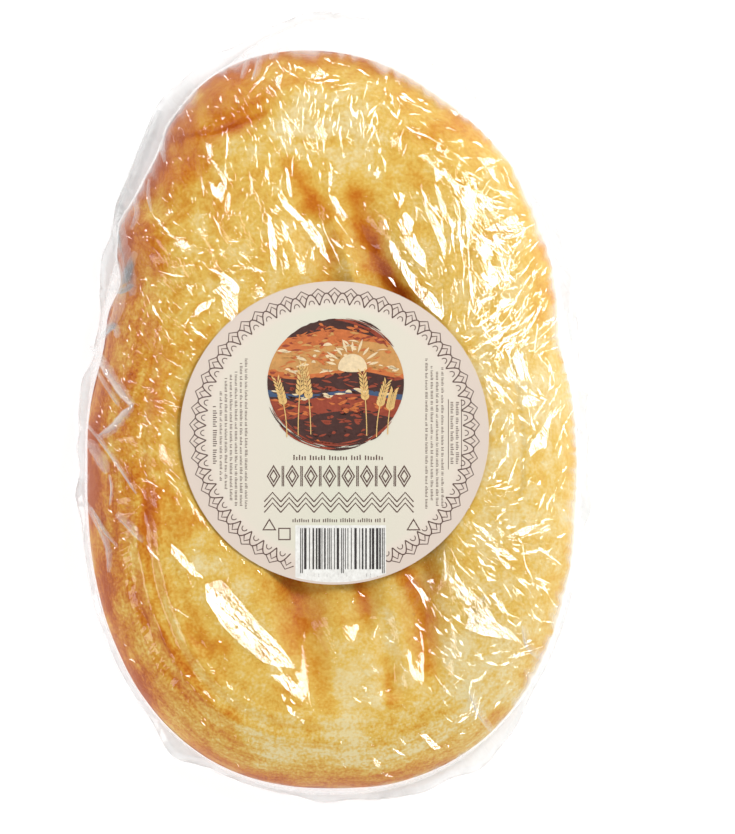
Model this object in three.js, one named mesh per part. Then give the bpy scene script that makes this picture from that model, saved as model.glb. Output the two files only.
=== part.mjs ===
// A flat oval loaf with finger-drawn furrows, sealed in a clear thin bag with a round paper label.
//
// Millimetres, +Z up. The bag lies on its flat underside at z = 0, and the origin is on that plane
// under the middle of the bag's outline. +Y points to the loaf's narrower end, +X to its right.
//
// Both solids are rings of points round the label's centre. In plan the rings blend from the
// circle of the label to the egg-shaped hem of the bag. Their heights come from one smooth field:
// a thick outer roll, a lower middle with furrows drawn along it, a bed for the label, the film's
// long folds, and a thin pleated hem that lies on the ground all round.

import * as THREE from "three";

const { lerp, smoothstep, degToRad } = THREE.MathUtils;

// ---- Plan outlines. Each is an egg: two half superellipses that meet at its widest line.

const LOAF = {
  centreX: -0.6,
  widestY: -20.7,
  halfWidth: 88.3,
  upperLength: 150.1,
  lowerLength: 114.0,
  upperPower: 2.05,
  lowerPower: 2.25,
  lean: -8.5, // sideways lean of the narrow tip
  leanStart: 85,
  leanEnd: 128,
  waist: 6.5, // how far each flank is drawn in above the middle
  waistY: 24,
  waistSpread: 17,
};

const HEM = {
  centreX: 0,
  widestY: -24.3,
  halfWidth: 93.3,
  upperLength: 168.2,
  lowerLength: 119.2,
  upperPower: 1.96,
  lowerPower: 2.2,
  lean: 0,
  leanStart: 85,
  leanEnd: 128,
  waist: 0,
  waistY: 24,
  waistSpread: 17,
};

// Where the hem stands out (or, with a negative reach, is drawn in) beyond its egg: the direction
// from the label's centre, how far, and over what angle.
const HEM_LOBES = [
  { degrees: 40, reach: 4.2, spread: 9 },
  { degrees: 76, reach: -4.0, spread: 8 },
  { degrees: 117, reach: 4.4, spread: 8 },
  { degrees: 156, reach: -3.4, spread: 7 },
  { degrees: 221, reach: -4.0, spread: 18 },
  { degrees: 243, reach: 4.0, spread: 7 },
  { degrees: 256, reach: -3.6, spread: 6 },
  { degrees: 294, reach: 4.2, spread: 9 },
  { degrees: 321, reach: -4.0, spread: 14 },
];

// Small pleats along the hem: how many in a turn, how far they reach, and where they begin.
const HEM_PLEATS = [
  { count: 17, reach: 0.55, degrees: 11 },
  { count: 29, reach: 0.5, degrees: 200 },
  { count: 43, reach: 0.35, degrees: 90 },
];

// ---- Heights of the bag

const CROWN_HEIGHT = 39; // top of the outer roll
const END_DROP = 3.0; // how much lower the roll is at the two ends
const LOAF_HALF_LENGTH = 132;
const ROLL_RADIUS = 27; // from the loaf's edge in to the crown of its roll
const WALL_ROUNDNESS = 1.8; // power of the rounded wall, 2 being a quarter ellipse
const FLANGE_WIDTH = 3.2; // the hem's flat margin, outside the wall
const FLANGE_HEIGHT = 1.9;
const HEM_LIFT = 0.5; // mean height of the hem's lower edge above the ground
const HEM_THICKNESS = 0.9;
const PLEAT_LIFT = 0.4;
const UNEVENNESS = 0.7; // slow swells of the loaf's top

// ---- The lower middle of the loaf, with the furrows that fingers drew along it

const MIDDLE = { x: 9, y: -13, halfWidth: 37, halfLength: 101, power: 2.6, depth: 4.6 };

const FURROWS = [
  {
    path: [[-14, 86], [-7, 62], [-1, 45], [-2, 5], [-11, -45], [-12, -66], [-8, -94], [-2, -110]],
    depth: 5.5,
    halfWidth: 7.5,
  },
  {
    path: [[4, 84], [10, 62], [18, 43], [27, 10], [30, -30], [31, -60], [34, -88], [38, -106]],
    depth: 7.5,
    halfWidth: 7.0,
  },
  { path: [[8, -20], [9, -48], [11, -66], [12, -86]], depth: 3.5, halfWidth: 5.5 },
  { path: [[17, -70], [20, -90], [21, -106]], depth: 2.5, halfWidth: 5 },
];
const FURROW_RUN_OUT = 0.22; // share of a furrow's length over which each end fades
const FURROW_STEPS = 24;
const FILM_DIP = 0.85; // how deep the film follows the middle and the furrows

// Knuckles that stand out on the roll's upper left flank, and the crease that parts two of them
const KNUCKLES = [
  { x: -60, y: 82, radius: 9, height: 2.2 },
  { x: -67, y: 60, radius: 8, height: 2.0 },
  { x: -42, y: 113, radius: 9, height: 2.0 },
  { x: -53, y: 102, radius: 8, height: 1.6 },
];
const CREASE = { from: [-52, 94], to: [-22, 105], depth: 2.0, halfWidth: 3.2 };

// Wrinkles that run along the roll at its lower left, one beside the other
const ROLL_WRINKLES = { spacing: 8, height: 0.8, fromEdge: 20, degrees: 231, spread: 32 };

// ---- The film's longest folds: low ridges from one point of the plan to another

const FOLDS = [
  { from: [-48, -50], to: [-14, -116], height: 2.2, halfWidth: 3.8 },
  { from: [-80, -28], to: [-62, -58], height: 1.4, halfWidth: 3.2 },
  { from: [36, 62], to: [60, 28], height: 1.6, halfWidth: 3.4 },
  { from: [60, 66], to: [72, 30], height: 1.6, halfWidth: 3.4 },
  { from: [54, -46], to: [66, -84], height: 1.6, halfWidth: 3.4 },
];

// ---- The label, a thin disc that bends like a shallow valley between the two flanks

const LABEL = { x: 0.65, y: -9.1, radiusX: 55.1, radiusY: 54.2, thickness: 0.4 };
const LABEL_SAG = 3.2;
const LABEL_GAP = 0.3;
const LABEL_MARGIN = 3; // the film stays flat this far beyond the label's edge
const LABEL_BLEND = 12; // and joins the open film over this width

// ---- Fineness of the two meshes

const BAG_COLUMNS = 160;
const BAG_INNER_RINGS = [0.33, 0.66, 0.94]; // shares of the way out to the margin of the label
const BAG_OUTER_RINGS = 18;
const RING_CROWDING = 1.6; // above 1, the outer rings lie closer together towards the hem
const BASE_SHARE = 0.965; // how far out the flat underside reaches
const LABEL_COLUMNS = 64;
const LABEL_RINGS = [0.34, 0.67, 0.9, 1];

// ---- Plan geometry

/** The level of a plan point in an egg: 0 at its centre, 1 on its outline, more outside. */
function eggLevel(egg, x, y) {
  const up = y - egg.widestY;
  const [length, power] = up >= 0
    ? [egg.upperLength, egg.upperPower]
    : [egg.lowerLength, egg.lowerPower];
  const lean = egg.lean * smoothstep(y, egg.leanStart, egg.leanEnd);
  const drawnIn = egg.waist * Math.exp(-(((y - egg.waistY) / egg.waistSpread) ** 2));
  const across = Math.abs(x - egg.centreX - lean) / (egg.halfWidth - drawnIn);
  return (across ** power + (Math.abs(up) / length) ** power) ** (1 / power);
}

/** How far inside an egg's outline a plan point lies, negative outside it. */
function insetFrom(egg, x, y) {
  const step = 0.5;
  const slopeX = (eggLevel(egg, x + step, y) - eggLevel(egg, x - step, y)) / (2 * step);
  const slopeY = (eggLevel(egg, x, y + step) - eggLevel(egg, x, y - step)) / (2 * step);
  return (1 - eggLevel(egg, x, y)) / Math.hypot(slopeX, slopeY);
}

/** The reach of an egg's outline from the label's centre, in one direction. */
function eggReach(egg, angle) {
  let [inside, outside] = [0, 2 * egg.upperLength];
  for (let halving = 0; halving < 40; halving += 1) {
    const middle = (inside + outside) / 2;
    const level = eggLevel(egg, LABEL.x + middle * Math.cos(angle), LABEL.y + middle * Math.sin(angle));
    [inside, outside] = level < 1 ? [middle, outside] : [inside, middle];
  }
  return inside;
}

/** The shorter turn from a direction in degrees to an angle, in radians. */
function angleBetween(angle, degrees) {
  const turn = angle - degToRad(degrees);
  return Math.atan2(Math.sin(turn), Math.cos(turn));
}

/** How far the hem stands out beyond its egg, in one direction. */
function hemExcess(angle) {
  const lobes = HEM_LOBES.map(({ degrees, reach, spread }) =>
    reach * Math.exp(-((angleBetween(angle, degrees) / degToRad(spread)) ** 2)));
  const pleats = HEM_PLEATS.map(({ count, reach, degrees }) => reach * Math.sin(count * angle + degToRad(degrees)));
  return [...lobes, ...pleats].reduce((sum, part) => sum + part, 0);
}

/** The nearest place on a chain of points: how far it is, and how far along the chain it lies (0 to 1). */
function nearestOn(chain, x, y) {
  let nearest = { distance: Infinity, along: 0 };
  for (let index = 0; index < chain.length - 1; index += 1) {
    const [start, end] = [chain[index], chain[index + 1]];
    const [runX, runY] = [end.x - start.x, end.y - start.y];
    const share = THREE.MathUtils.clamp(
      ((x - start.x) * runX + (y - start.y) * runY) / (runX ** 2 + runY ** 2),
      0,
      1,
    );
    const distance = Math.hypot(x - start.x - share * runX, y - start.y - share * runY);
    if (distance < nearest.distance) {
      nearest = { distance, along: (index + share) / (chain.length - 1) };
    }
  }
  return nearest;
}

const furrowChains = FURROWS.map(({ path }) =>
  new THREE.SplineCurve(path.map(([x, y]) => new THREE.Vector2(x, y))).getPoints(FURROW_STEPS));

// ---- Heights over the plan

/** How far the loaf's middle and its furrows lie below the crown of the outer roll. */
function hollowDepth(x, y) {
  const { power } = MIDDLE;
  const level = (Math.abs((x - MIDDLE.x) / MIDDLE.halfWidth) ** power
    + Math.abs((y - MIDDLE.y) / MIDDLE.halfLength) ** power) ** (1 / power);
  const middle = MIDDLE.depth * (1 - smoothstep(level, 0.45, 1.1));
  const furrows = FURROWS.map(({ depth, halfWidth }, index) => {
    const { distance, along } = nearestOn(furrowChains[index], x, y);
    const fade = smoothstep(along, 0, FURROW_RUN_OUT) * smoothstep(1 - along, 0, FURROW_RUN_OUT);
    return depth * fade * Math.exp(-((distance / halfWidth) ** 2));
  });
  return middle + Math.max(...furrows);
}

/** How far the knuckles and wrinkles stand above the outer roll, less the depth of the crease. */
function crustRelief(x, y) {
  const knuckles = KNUCKLES.map(({ x: middleX, y: middleY, radius, height }) =>
    height * Math.exp(-(((x - middleX) ** 2 + (y - middleY) ** 2) / radius ** 2)));
  const creaseChain = [CREASE.from, CREASE.to].map(([px, py]) => new THREE.Vector2(px, py));
  const { distance, along } = nearestOn(creaseChain, x, y);
  const crease = CREASE.depth * Math.sin(Math.PI * along) * Math.exp(-((distance / CREASE.halfWidth) ** 2));
  const { spacing, height, fromEdge, degrees, spread } = ROLL_WRINKLES;
  const inset = insetFrom(LOAF, x, y);
  const turn = angleBetween(Math.atan2(y - LABEL.y, x - LABEL.x), degrees);
  const hold = Math.exp(-(((inset - fromEdge) / spacing) ** 2) - (turn / degToRad(spread)) ** 2);
  const wrinkles = height * hold * Math.sin((2 * Math.PI * inset) / spacing);
  return Math.max(...knuckles) - Math.max(crease, 0) + wrinkles;
}

/** The height of the film's long folds above the smooth film. */
function foldHeight(x, y) {
  const heights = FOLDS.map(({ from, to, height, halfWidth }) => {
    const chain = [from, to].map(([px, py]) => new THREE.Vector2(px, py));
    const { distance, along } = nearestOn(chain, x, y);
    const taper = Math.sin(Math.PI * along);
    return taper > 0 ? height * taper * Math.max(0, 1 - distance / halfWidth) : 0;
  });
  return Math.max(...heights);
}

/** Slow swells of the loaf's top. */
function swell(x, y) {
  return UNEVENNESS * (Math.sin(x / 19 + y / 31 + 0.8) + 0.6 * Math.sin(y / 17 - x / 47 + 2.1));
}

/** The bed that the label's paper keeps flat across, and curved like a valley along the loaf. */
function labelBed(x) {
  const across = (x - LABEL.x) / LABEL.radiusX;
  return CROWN_HEIGHT - LABEL_SAG * (1 - Math.min(across ** 2, 1.6));
}

/** The height of the film above the ground, inside the hem's flat margin. */
function filmHeight(x, y) {
  const fromFoot = insetFrom(HEM, x, y) - FLANGE_WIDTH;
  const toCrown = ROLL_RADIUS - insetFrom(LOAF, x, y);
  const climb = toCrown <= 0 ? 1 : THREE.MathUtils.clamp(fromFoot / (fromFoot + toCrown), 0, 1);
  const wall = (1 - (1 - climb) ** WALL_ROUNDNESS) ** (1 / WALL_ROUNDNESS);
  const crown = CROWN_HEIGHT - END_DROP * (y / LOAF_HALF_LENGTH) ** 2 + swell(x, y);
  const relief = crustRelief(x, y) + foldHeight(x, y);
  const open = lerp(FLANGE_HEIGHT, crown - FILM_DIP * hollowDepth(x, y), wall) + relief * wall;
  const labelReach = Math.hypot((x - LABEL.x) / LABEL.radiusX, (y - LABEL.y) / LABEL.radiusY);
  const beyondLabel = (labelReach - 1) * LABEL.radiusX - LABEL_MARGIN;
  const bedHold = (1 - smoothstep(beyondLabel, 0, LABEL_BLEND)) * smoothstep(climb, 0.75, 1);
  return lerp(open, labelBed(x), bedHold);
}

// ---- Solids

/** A closed mesh of two end points and the rings between them, which run down the outside and
 * back under it. The rings from rimRing on are split along the other diagonal, so that a thin
 * sheet has its two faces split alike. */
function ringSolid(topPoint, rings, bottomPoint, rimRing) {
  const columns = rings[0].length;
  const points = [topPoint, ...rings.flat(), bottomPoint];
  const at = (ring, column) => 1 + ring * columns + (column % columns);
  const triangles = [];
  for (let column = 0; column < columns; column += 1) {
    const lastRing = rings.length - 1;
    triangles.push(0, at(0, column), at(0, column + 1));
    for (let ring = 0; ring < lastRing; ring += 1) {
      const [a, b] = [at(ring, column), at(ring + 1, column)];
      const [c, d] = [at(ring + 1, column + 1), at(ring, column + 1)];
      triangles.push(...(ring < rimRing ? [a, b, c, a, c, d] : [a, b, d, b, c, d]));
    }
    triangles.push(at(lastRing, column), points.length - 1, at(lastRing, column + 1));
  }
  const geometry = new THREE.BufferGeometry();
  geometry.setAttribute("position", new THREE.Float32BufferAttribute(points.flatMap((p) => p.toArray()), 3));
  geometry.setIndex(triangles);
  geometry.computeVertexNormals();
  return geometry;
}

/** A ring of points round the label's centre, from its reach and height in each direction. */
function ring(columns, reachAt, heightAt) {
  return Array.from({ length: columns }, (_, column) => {
    const angle = (2 * Math.PI * column) / columns;
    const reach = reachAt(angle);
    const x = LABEL.x + reach * Math.cos(angle);
    const y = LABEL.y + reach * Math.sin(angle);
    return new THREE.Vector3(x, y, heightAt(x, y, angle));
  });
}

/** The sealed bag with the loaf in it, as one solid. */
function makeBag() {
  const margin = LABEL.radiusX + LABEL_MARGIN;
  const hemReach = (angle) => eggReach(HEM, angle) + hemExcess(angle);
  const hemEdge = (angle) => HEM_LIFT + PLEAT_LIFT * Math.sin(HEM_PLEATS[0].count * angle);
  const rings = BAG_INNER_RINGS.map((share) => ring(BAG_COLUMNS, () => share * margin, filmHeight));
  for (let step = 0; step < BAG_OUTER_RINGS; step += 1) {
    const share = 1 - (1 - step / BAG_OUTER_RINGS) ** RING_CROWDING;
    rings.push(ring(BAG_COLUMNS, (angle) => lerp(margin, hemReach(angle), share), filmHeight));
  }
  rings.push(ring(BAG_COLUMNS, hemReach, (x, y, angle) => hemEdge(angle) + HEM_THICKNESS));
  const rimRing = rings.length - 1;
  rings.push(ring(BAG_COLUMNS, hemReach, (x, y, angle) => hemEdge(angle)));
  rings.push(ring(BAG_COLUMNS, (angle) => BASE_SHARE * hemReach(angle), () => 0));
  const topPoint = new THREE.Vector3(LABEL.x, LABEL.y, filmHeight(LABEL.x, LABEL.y));
  return ringSolid(topPoint, rings, new THREE.Vector3(LABEL.x, LABEL.y, 0), rimRing);
}

/** The round paper label, which follows the film at a small gap. */
function makeLabel() {
  const reachAt = (share) => (angle) =>
    share * Math.hypot(LABEL.radiusX * Math.cos(angle), LABEL.radiusY * Math.sin(angle));
  const under = (x, y) => filmHeight(x, y) + LABEL_GAP;
  const over = (x, y) => under(x, y) + LABEL.thickness;
  const rings = [
    ...LABEL_RINGS.map((share) => ring(LABEL_COLUMNS, reachAt(share), over)),
    ...LABEL_RINGS.toReversed().map((share) => ring(LABEL_COLUMNS, reachAt(share), under)),
  ];
  const topPoint = new THREE.Vector3(LABEL.x, LABEL.y, over(LABEL.x, LABEL.y));
  const bottomPoint = new THREE.Vector3(LABEL.x, LABEL.y, under(LABEL.x, LABEL.y));
  return ringSolid(topPoint, rings, bottomPoint, LABEL_RINGS.length - 1);
}

/** A named mesh of one geometry with its own plain finish. */
function piece(name, geometry, color, roughness) {
  const mesh = new THREE.Mesh(geometry, new THREE.MeshStandardMaterial({ color, roughness, metalness: 0 }));
  mesh.name = name;
  return mesh;
}

const bag = piece("bag", makeBag(), "#dfb566", 0.35);
const label = piece("label", makeLabel(), "#e0d3c4", 0.55);

// The hem's lobes are uneven, so the pack is moved to put its outline's middle over the origin.
const pack = new THREE.Group();
const outline = new THREE.Box3().setFromBufferAttribute(bag.geometry.getAttribute("position"));
const middle = outline.getCenter(new THREE.Vector3());
pack.add(bag, label);
pack.position.set(-middle.x, -middle.y, 0);

export default pack;
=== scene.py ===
"""A finger-furrowed oval loaf, sealed in a clear bag with a round paper label, dressed for rendering.

The plan is measured in millimetres: x to the right and y towards the loaf's narrow end, from the
point that the outlines of the loaf and the bag are drawn about. Heights are millimetres above the
ground. Frame.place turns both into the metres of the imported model.
"""

import logging
import math
from dataclasses import dataclass
from enum import Enum
from typing import Callable, ClassVar, Sequence

import bpy
import numpy as np
from numpy.typing import NDArray
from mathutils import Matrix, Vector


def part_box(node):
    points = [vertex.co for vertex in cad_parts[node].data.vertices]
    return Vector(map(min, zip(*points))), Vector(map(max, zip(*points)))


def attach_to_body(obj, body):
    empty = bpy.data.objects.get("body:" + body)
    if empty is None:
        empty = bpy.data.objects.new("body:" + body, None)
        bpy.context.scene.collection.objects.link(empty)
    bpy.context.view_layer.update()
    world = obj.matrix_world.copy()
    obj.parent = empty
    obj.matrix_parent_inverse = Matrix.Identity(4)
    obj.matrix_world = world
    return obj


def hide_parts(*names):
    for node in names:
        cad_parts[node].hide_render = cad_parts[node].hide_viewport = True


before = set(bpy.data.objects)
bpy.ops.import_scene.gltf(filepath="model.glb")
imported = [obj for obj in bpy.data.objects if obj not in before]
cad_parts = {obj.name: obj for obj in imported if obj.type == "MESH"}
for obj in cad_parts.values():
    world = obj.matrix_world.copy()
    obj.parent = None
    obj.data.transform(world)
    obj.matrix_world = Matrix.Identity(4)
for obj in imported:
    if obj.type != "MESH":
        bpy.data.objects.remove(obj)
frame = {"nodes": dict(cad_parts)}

Array = NDArray[np.float64]
Point = tuple[float, float]
Colour = tuple[float, float, float]
Piece = bpy.types.Object
Material = bpy.types.Material
Socket = bpy.types.NodeSocket

logging.basicConfig(level=logging.INFO, format="%(name)s: %(message)s")
log = logging.getLogger("bagged_loaf")

MM = 0.001  # metres in a millimetre


# ---------------------------------------------------------------- small tools


def smoothstep(value: Array, low: float, high: float) -> Array:
    """Rise smoothly from 0 at low to 1 at high."""
    share = np.clip((value - low) / (high - low), 0, 1)
    return share * share * (3 - 2 * share)


def bell(distance: Array, width: float) -> Array:
    """Fall from 1 at no distance to about a third at one width."""
    return np.exp(-((distance / width) ** 2))


def mix(start: Array, end: Array, share: Array) -> Array:
    """Go from start to end by a share."""
    return start + (end - start) * share


def heading(degrees: float) -> Array:
    """Give the unit direction of an angle from +x."""
    return np.array([math.cos(math.radians(degrees)), math.sin(math.radians(degrees))])


def linear(red: int, green: int, blue: int) -> Colour:
    """Turn an 8-bit screen colour into the linear values of a shader.

    Args:
        red: Red from 0 to 255.
        green: Green from 0 to 255.
        blue: Blue from 0 to 255.

    Returns:
        The three linear values.
    """
    shares = (value / 255 for value in (red, green, blue))
    return tuple(s / 12.92 if s <= 0.04045 else ((s + 0.055) / 1.055) ** 2.4 for s in shares)


def polar(radius: Array | float, angle: Array) -> Array:
    """Give points from their distance and direction."""
    return np.stack([radius * np.cos(angle), radius * np.sin(angle)], axis=-1)


def sideways(run: Array) -> Array:
    """Give the unit direction to the left of each row's direction."""
    return np.stack([-run[:, 1], run[:, 0]], axis=1) / np.hypot(*run.T)[:, None]


def turned_from(angles: Array, degrees: float) -> Array:
    """Give how far angles are turned from a direction, at most half a turn either way."""
    turn = angles - math.radians(degrees)
    return np.arctan2(np.sin(turn), np.cos(turn))


def even_stops(reach: Callable[[Array], Array], steps: int, columns: int) -> tuple[Array, Array, float]:
    """Space stops evenly along an outline.

    Args:
        reach: Gives the outline's distance from its centre, in each direction.
        steps: How many straight steps the outline is measured in.
        columns: How many stops there are.

    Returns:
        How far round the outline each stop lies, its direction, and the outline's length.
    """
    around = np.linspace(0, 2 * np.pi, steps, endpoint=False)
    outline = polar(reach(around), around)
    lengths = np.hypot(*(np.roll(outline, -1, axis=0) - outline).T)
    travelled = np.concatenate([[0], np.cumsum(lengths)])
    stops = np.linspace(0, travelled[-1], columns, endpoint=False)
    return stops, np.interp(stops, travelled, np.append(around, 2 * np.pi)), travelled[-1]


def spline(points: Sequence[Point], steps: int) -> Array:
    """Run a uniform Catmull-Rom curve through points.

    Args:
        points: The points that the curve passes through.
        steps: How many equal steps the curve is cut into.

    Returns:
        An array of steps + 1 points.
    """
    knots = np.array(points, dtype=float)
    place = np.linspace(0, len(knots) - 1, steps + 1)
    index = np.minimum(place.astype(int), len(knots) - 2)
    t = (place - index)[:, None]
    before, start = knots[np.maximum(index - 1, 0)], knots[index]
    end, after = knots[index + 1], knots[np.minimum(index + 2, len(knots) - 1)]
    leave, arrive = (end - before) / 2, (after - start) / 2
    return (
        (2 * start - 2 * end + leave + arrive) * t**3
        + (-3 * start + 3 * end - 2 * leave - arrive) * t**2
        + leave * t
        + start
    )


def nearest_on(chain: Array, x: Array, y: Array) -> tuple[Array, Array]:
    """Find the nearest place on a chain of points.

    Args:
        chain: The chain's points.
        x: Plan positions.
        y: Plan positions.

    Returns:
        How far each position is from the chain, and how far along the chain that place lies (0 to 1).
    """
    distance = np.full(np.shape(x), np.inf)
    along = np.zeros(np.shape(x))
    for index, (start, end) in enumerate(zip(chain[:-1], chain[1:])):
        run = end - start
        share = np.clip(((x - start[0]) * run[0] + (y - start[1]) * run[1]) / (run @ run), 0, 1)
        reach = np.hypot(x - start[0] - share * run[0], y - start[1] - share * run[1])
        closer = reach < distance
        distance = np.where(closer, reach, distance)
        along = np.where(closer, (index + share) / (len(chain) - 1), along)
    return distance, along


def clip(points: Array, way: Array, limit: float) -> Array:
    """Cut off the part of a polygon that lies beyond a line.

    Args:
        points: The polygon's corners, one row each.
        way: The unit direction that is measured along.
        limit: The furthest that is kept.

    Returns:
        The corners of what is left, which may be none.
    """
    over = points @ way - limit
    kept = []
    for index, (here, before) in enumerate(zip(over, np.roll(over, 1))):
        if (here > 0) != (before > 0):
            share = before / (before - here)
            kept.append(points[index - 1] + share * (points[index] - points[index - 1]))
        if here <= 0:
            kept.append(points[index])
    return np.array(kept).reshape(-1, 2)


@dataclass(frozen=True)
class Patch:
    """A soft oval patch of the plan, where something is stronger or, when negative, weaker."""

    x: float
    y: float
    reach_x: float
    reach_y: float
    strength: float

    def at(self, x: Array, y: Array) -> Array:
        """Read the patch at plan positions, its full strength in its middle."""
        up = ((y - self.y) / self.reach_y) ** 2
        return self.strength * np.exp(-(((x - self.x) / self.reach_x) ** 2) - up)


@dataclass(frozen=True)
class SlowNoise:
    """Smooth random unevenness over the plan, as far either way as its strength, the same on each run."""

    cell: float
    seed: int
    strength: float = 1.0
    lattice: int = 128

    def at(self, x: Array, y: Array) -> Array:
        """Read the noise at plan positions, one value for each."""
        values = np.random.default_rng(self.seed).uniform(-1, 1, (self.lattice, self.lattice))
        u, v = np.asarray(x) / self.cell, np.asarray(y) / self.cell
        column, row = np.floor(u).astype(int), np.floor(v).astype(int)
        across, up = smoothstep(u - column, 0, 1), smoothstep(v - row, 0, 1)
        column, row = column % self.lattice, row % self.lattice
        right, above = (column + 1) % self.lattice, (row + 1) % self.lattice
        low = mix(values[column, row], values[right, row], across)
        high = mix(values[column, above], values[right, above], across)
        return self.strength * mix(low, high, up)


class HeightMap:
    """Heights sampled once over the plan, to be read fast at many places."""

    def __init__(self, height: Callable[[Array, Array], Array], reach: Point, step: float = 1.0) -> None:
        """Sample the heights.

        Args:
            height: Gives the height at plan positions.
            reach: How far the samples go either way from the plan's origin.
            step: The distance between samples.
        """
        self.low = -np.array(reach)
        self.step = step
        across, up = (np.arange(-part, part + step, step) for part in reach)
        self.values = height(*np.meshgrid(across, up, indexing="ij"))

    def at(self, points: Array) -> Array:
        """Read the height at plan points, one row each."""
        place = (points - self.low) / self.step
        last = np.array(self.values.shape) - 2
        index = np.clip(np.floor(place).astype(int), 0, last)
        across, up = (place - index).T
        column, row = index.T
        low = mix(self.values[column, row], self.values[column + 1, row], across)
        high = mix(self.values[column, row + 1], self.values[column + 1, row + 1], across)
        return mix(low, high, up)

    def slope(self, point: Array) -> Array:
        """Give the rise for each millimetre along x and y about a point."""
        around = point + self.step * np.array([[1, 0], [-1, 0], [0, 1], [0, -1]])
        right, left, above, below = self.at(around)
        return np.array([right - left, above - below]) / (2 * self.step)


# ---------------------------------------------------------------- the pack's form


@dataclass(frozen=True)
class Egg:
    """A plan outline of two half superellipses that meet at its widest line."""

    centre_x: float
    widest_y: float
    half_width: float
    upper_length: float
    lower_length: float
    upper_power: float
    lower_power: float
    lean: float = 0.0
    lean_start: float = 85.0
    lean_end: float = 128.0
    waist: float = 0.0
    waist_y: float = 24.0
    waist_spread: float = 17.0
    dents: tuple[tuple[float, float, float], ...] = ()  # y, depth and spread of each, on the left side

    def level(self, x: Array, y: Array) -> Array:
        """Give 0 at the egg's centre, 1 on its outline and more outside."""
        up = y - self.widest_y
        length = np.where(up >= 0, self.upper_length, self.lower_length)
        power = np.where(up >= 0, self.upper_power, self.lower_power)
        lean = self.lean * smoothstep(y, self.lean_start, self.lean_end)
        drawn_in = self.waist * bell(y - self.waist_y, self.waist_spread)
        for middle, depth, spread in self.dents:
            drawn_in = drawn_in + depth * bell(y - middle, spread) * smoothstep(-x, 10, 60)
        across = np.abs(x - self.centre_x - lean) / (self.half_width - drawn_in)
        return (across**power + (np.abs(up) / length) ** power) ** (1 / power)

    def slope(self, x: Array, y: Array) -> Array:
        """Give how much the level rises in a millimetre along x and along y."""
        step = 0.5
        along_x = (self.level(x + step, y) - self.level(x - step, y)) / (2 * step)
        along_y = (self.level(x, y + step) - self.level(x, y - step)) / (2 * step)
        return np.stack([along_x, along_y])

    def inset(self, x: Array, y: Array) -> Array:
        """Give how far inside the outline a place lies, negative outside it."""
        return (1 - self.level(x, y)) / np.hypot(*self.slope(x, y))

    def reach(self, centre: Point, angles: Array) -> Array:
        """Give the outline's distance from a centre, in each direction."""
        inside, outside = np.zeros_like(angles), np.full_like(angles, 2 * self.upper_length)
        for _ in range(40):
            middle = (inside + outside) / 2
            x, y = centre[0] + middle * np.cos(angles), centre[1] + middle * np.sin(angles)
            within = self.level(x, y) < 1
            inside, outside = np.where(within, middle, inside), np.where(within, outside, middle)
        return inside


@dataclass(frozen=True)
class Lobe:
    """A stretch of the hem that stands out, or is drawn in, about one direction."""

    degrees: float
    reach: float
    spread: float

    def at(self, angles: Array) -> Array:
        """Give how much further the hem reaches in each direction."""
        return self.reach * bell(turned_from(angles, self.degrees), math.radians(self.spread))


@dataclass(frozen=True)
class Pleats:
    """Small even waves along the hem."""

    count: int
    reach: float
    degrees: float


@dataclass(frozen=True)
class Furrow:
    """A furrow that a finger drew along the dough."""

    path: tuple[Point, ...]
    depth: float
    half_width: float


@dataclass(frozen=True)
class Knuckle:
    """A low bulge of the outer roll."""

    x: float
    y: float
    radius: float
    height: float


@dataclass(frozen=True)
class Crease:
    """A narrow groove in the crust."""

    path: tuple[Point, ...]
    depth: float
    half_width: float
    # how much darker the groove is painted: browning together with painted shade
    bake: float


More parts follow.
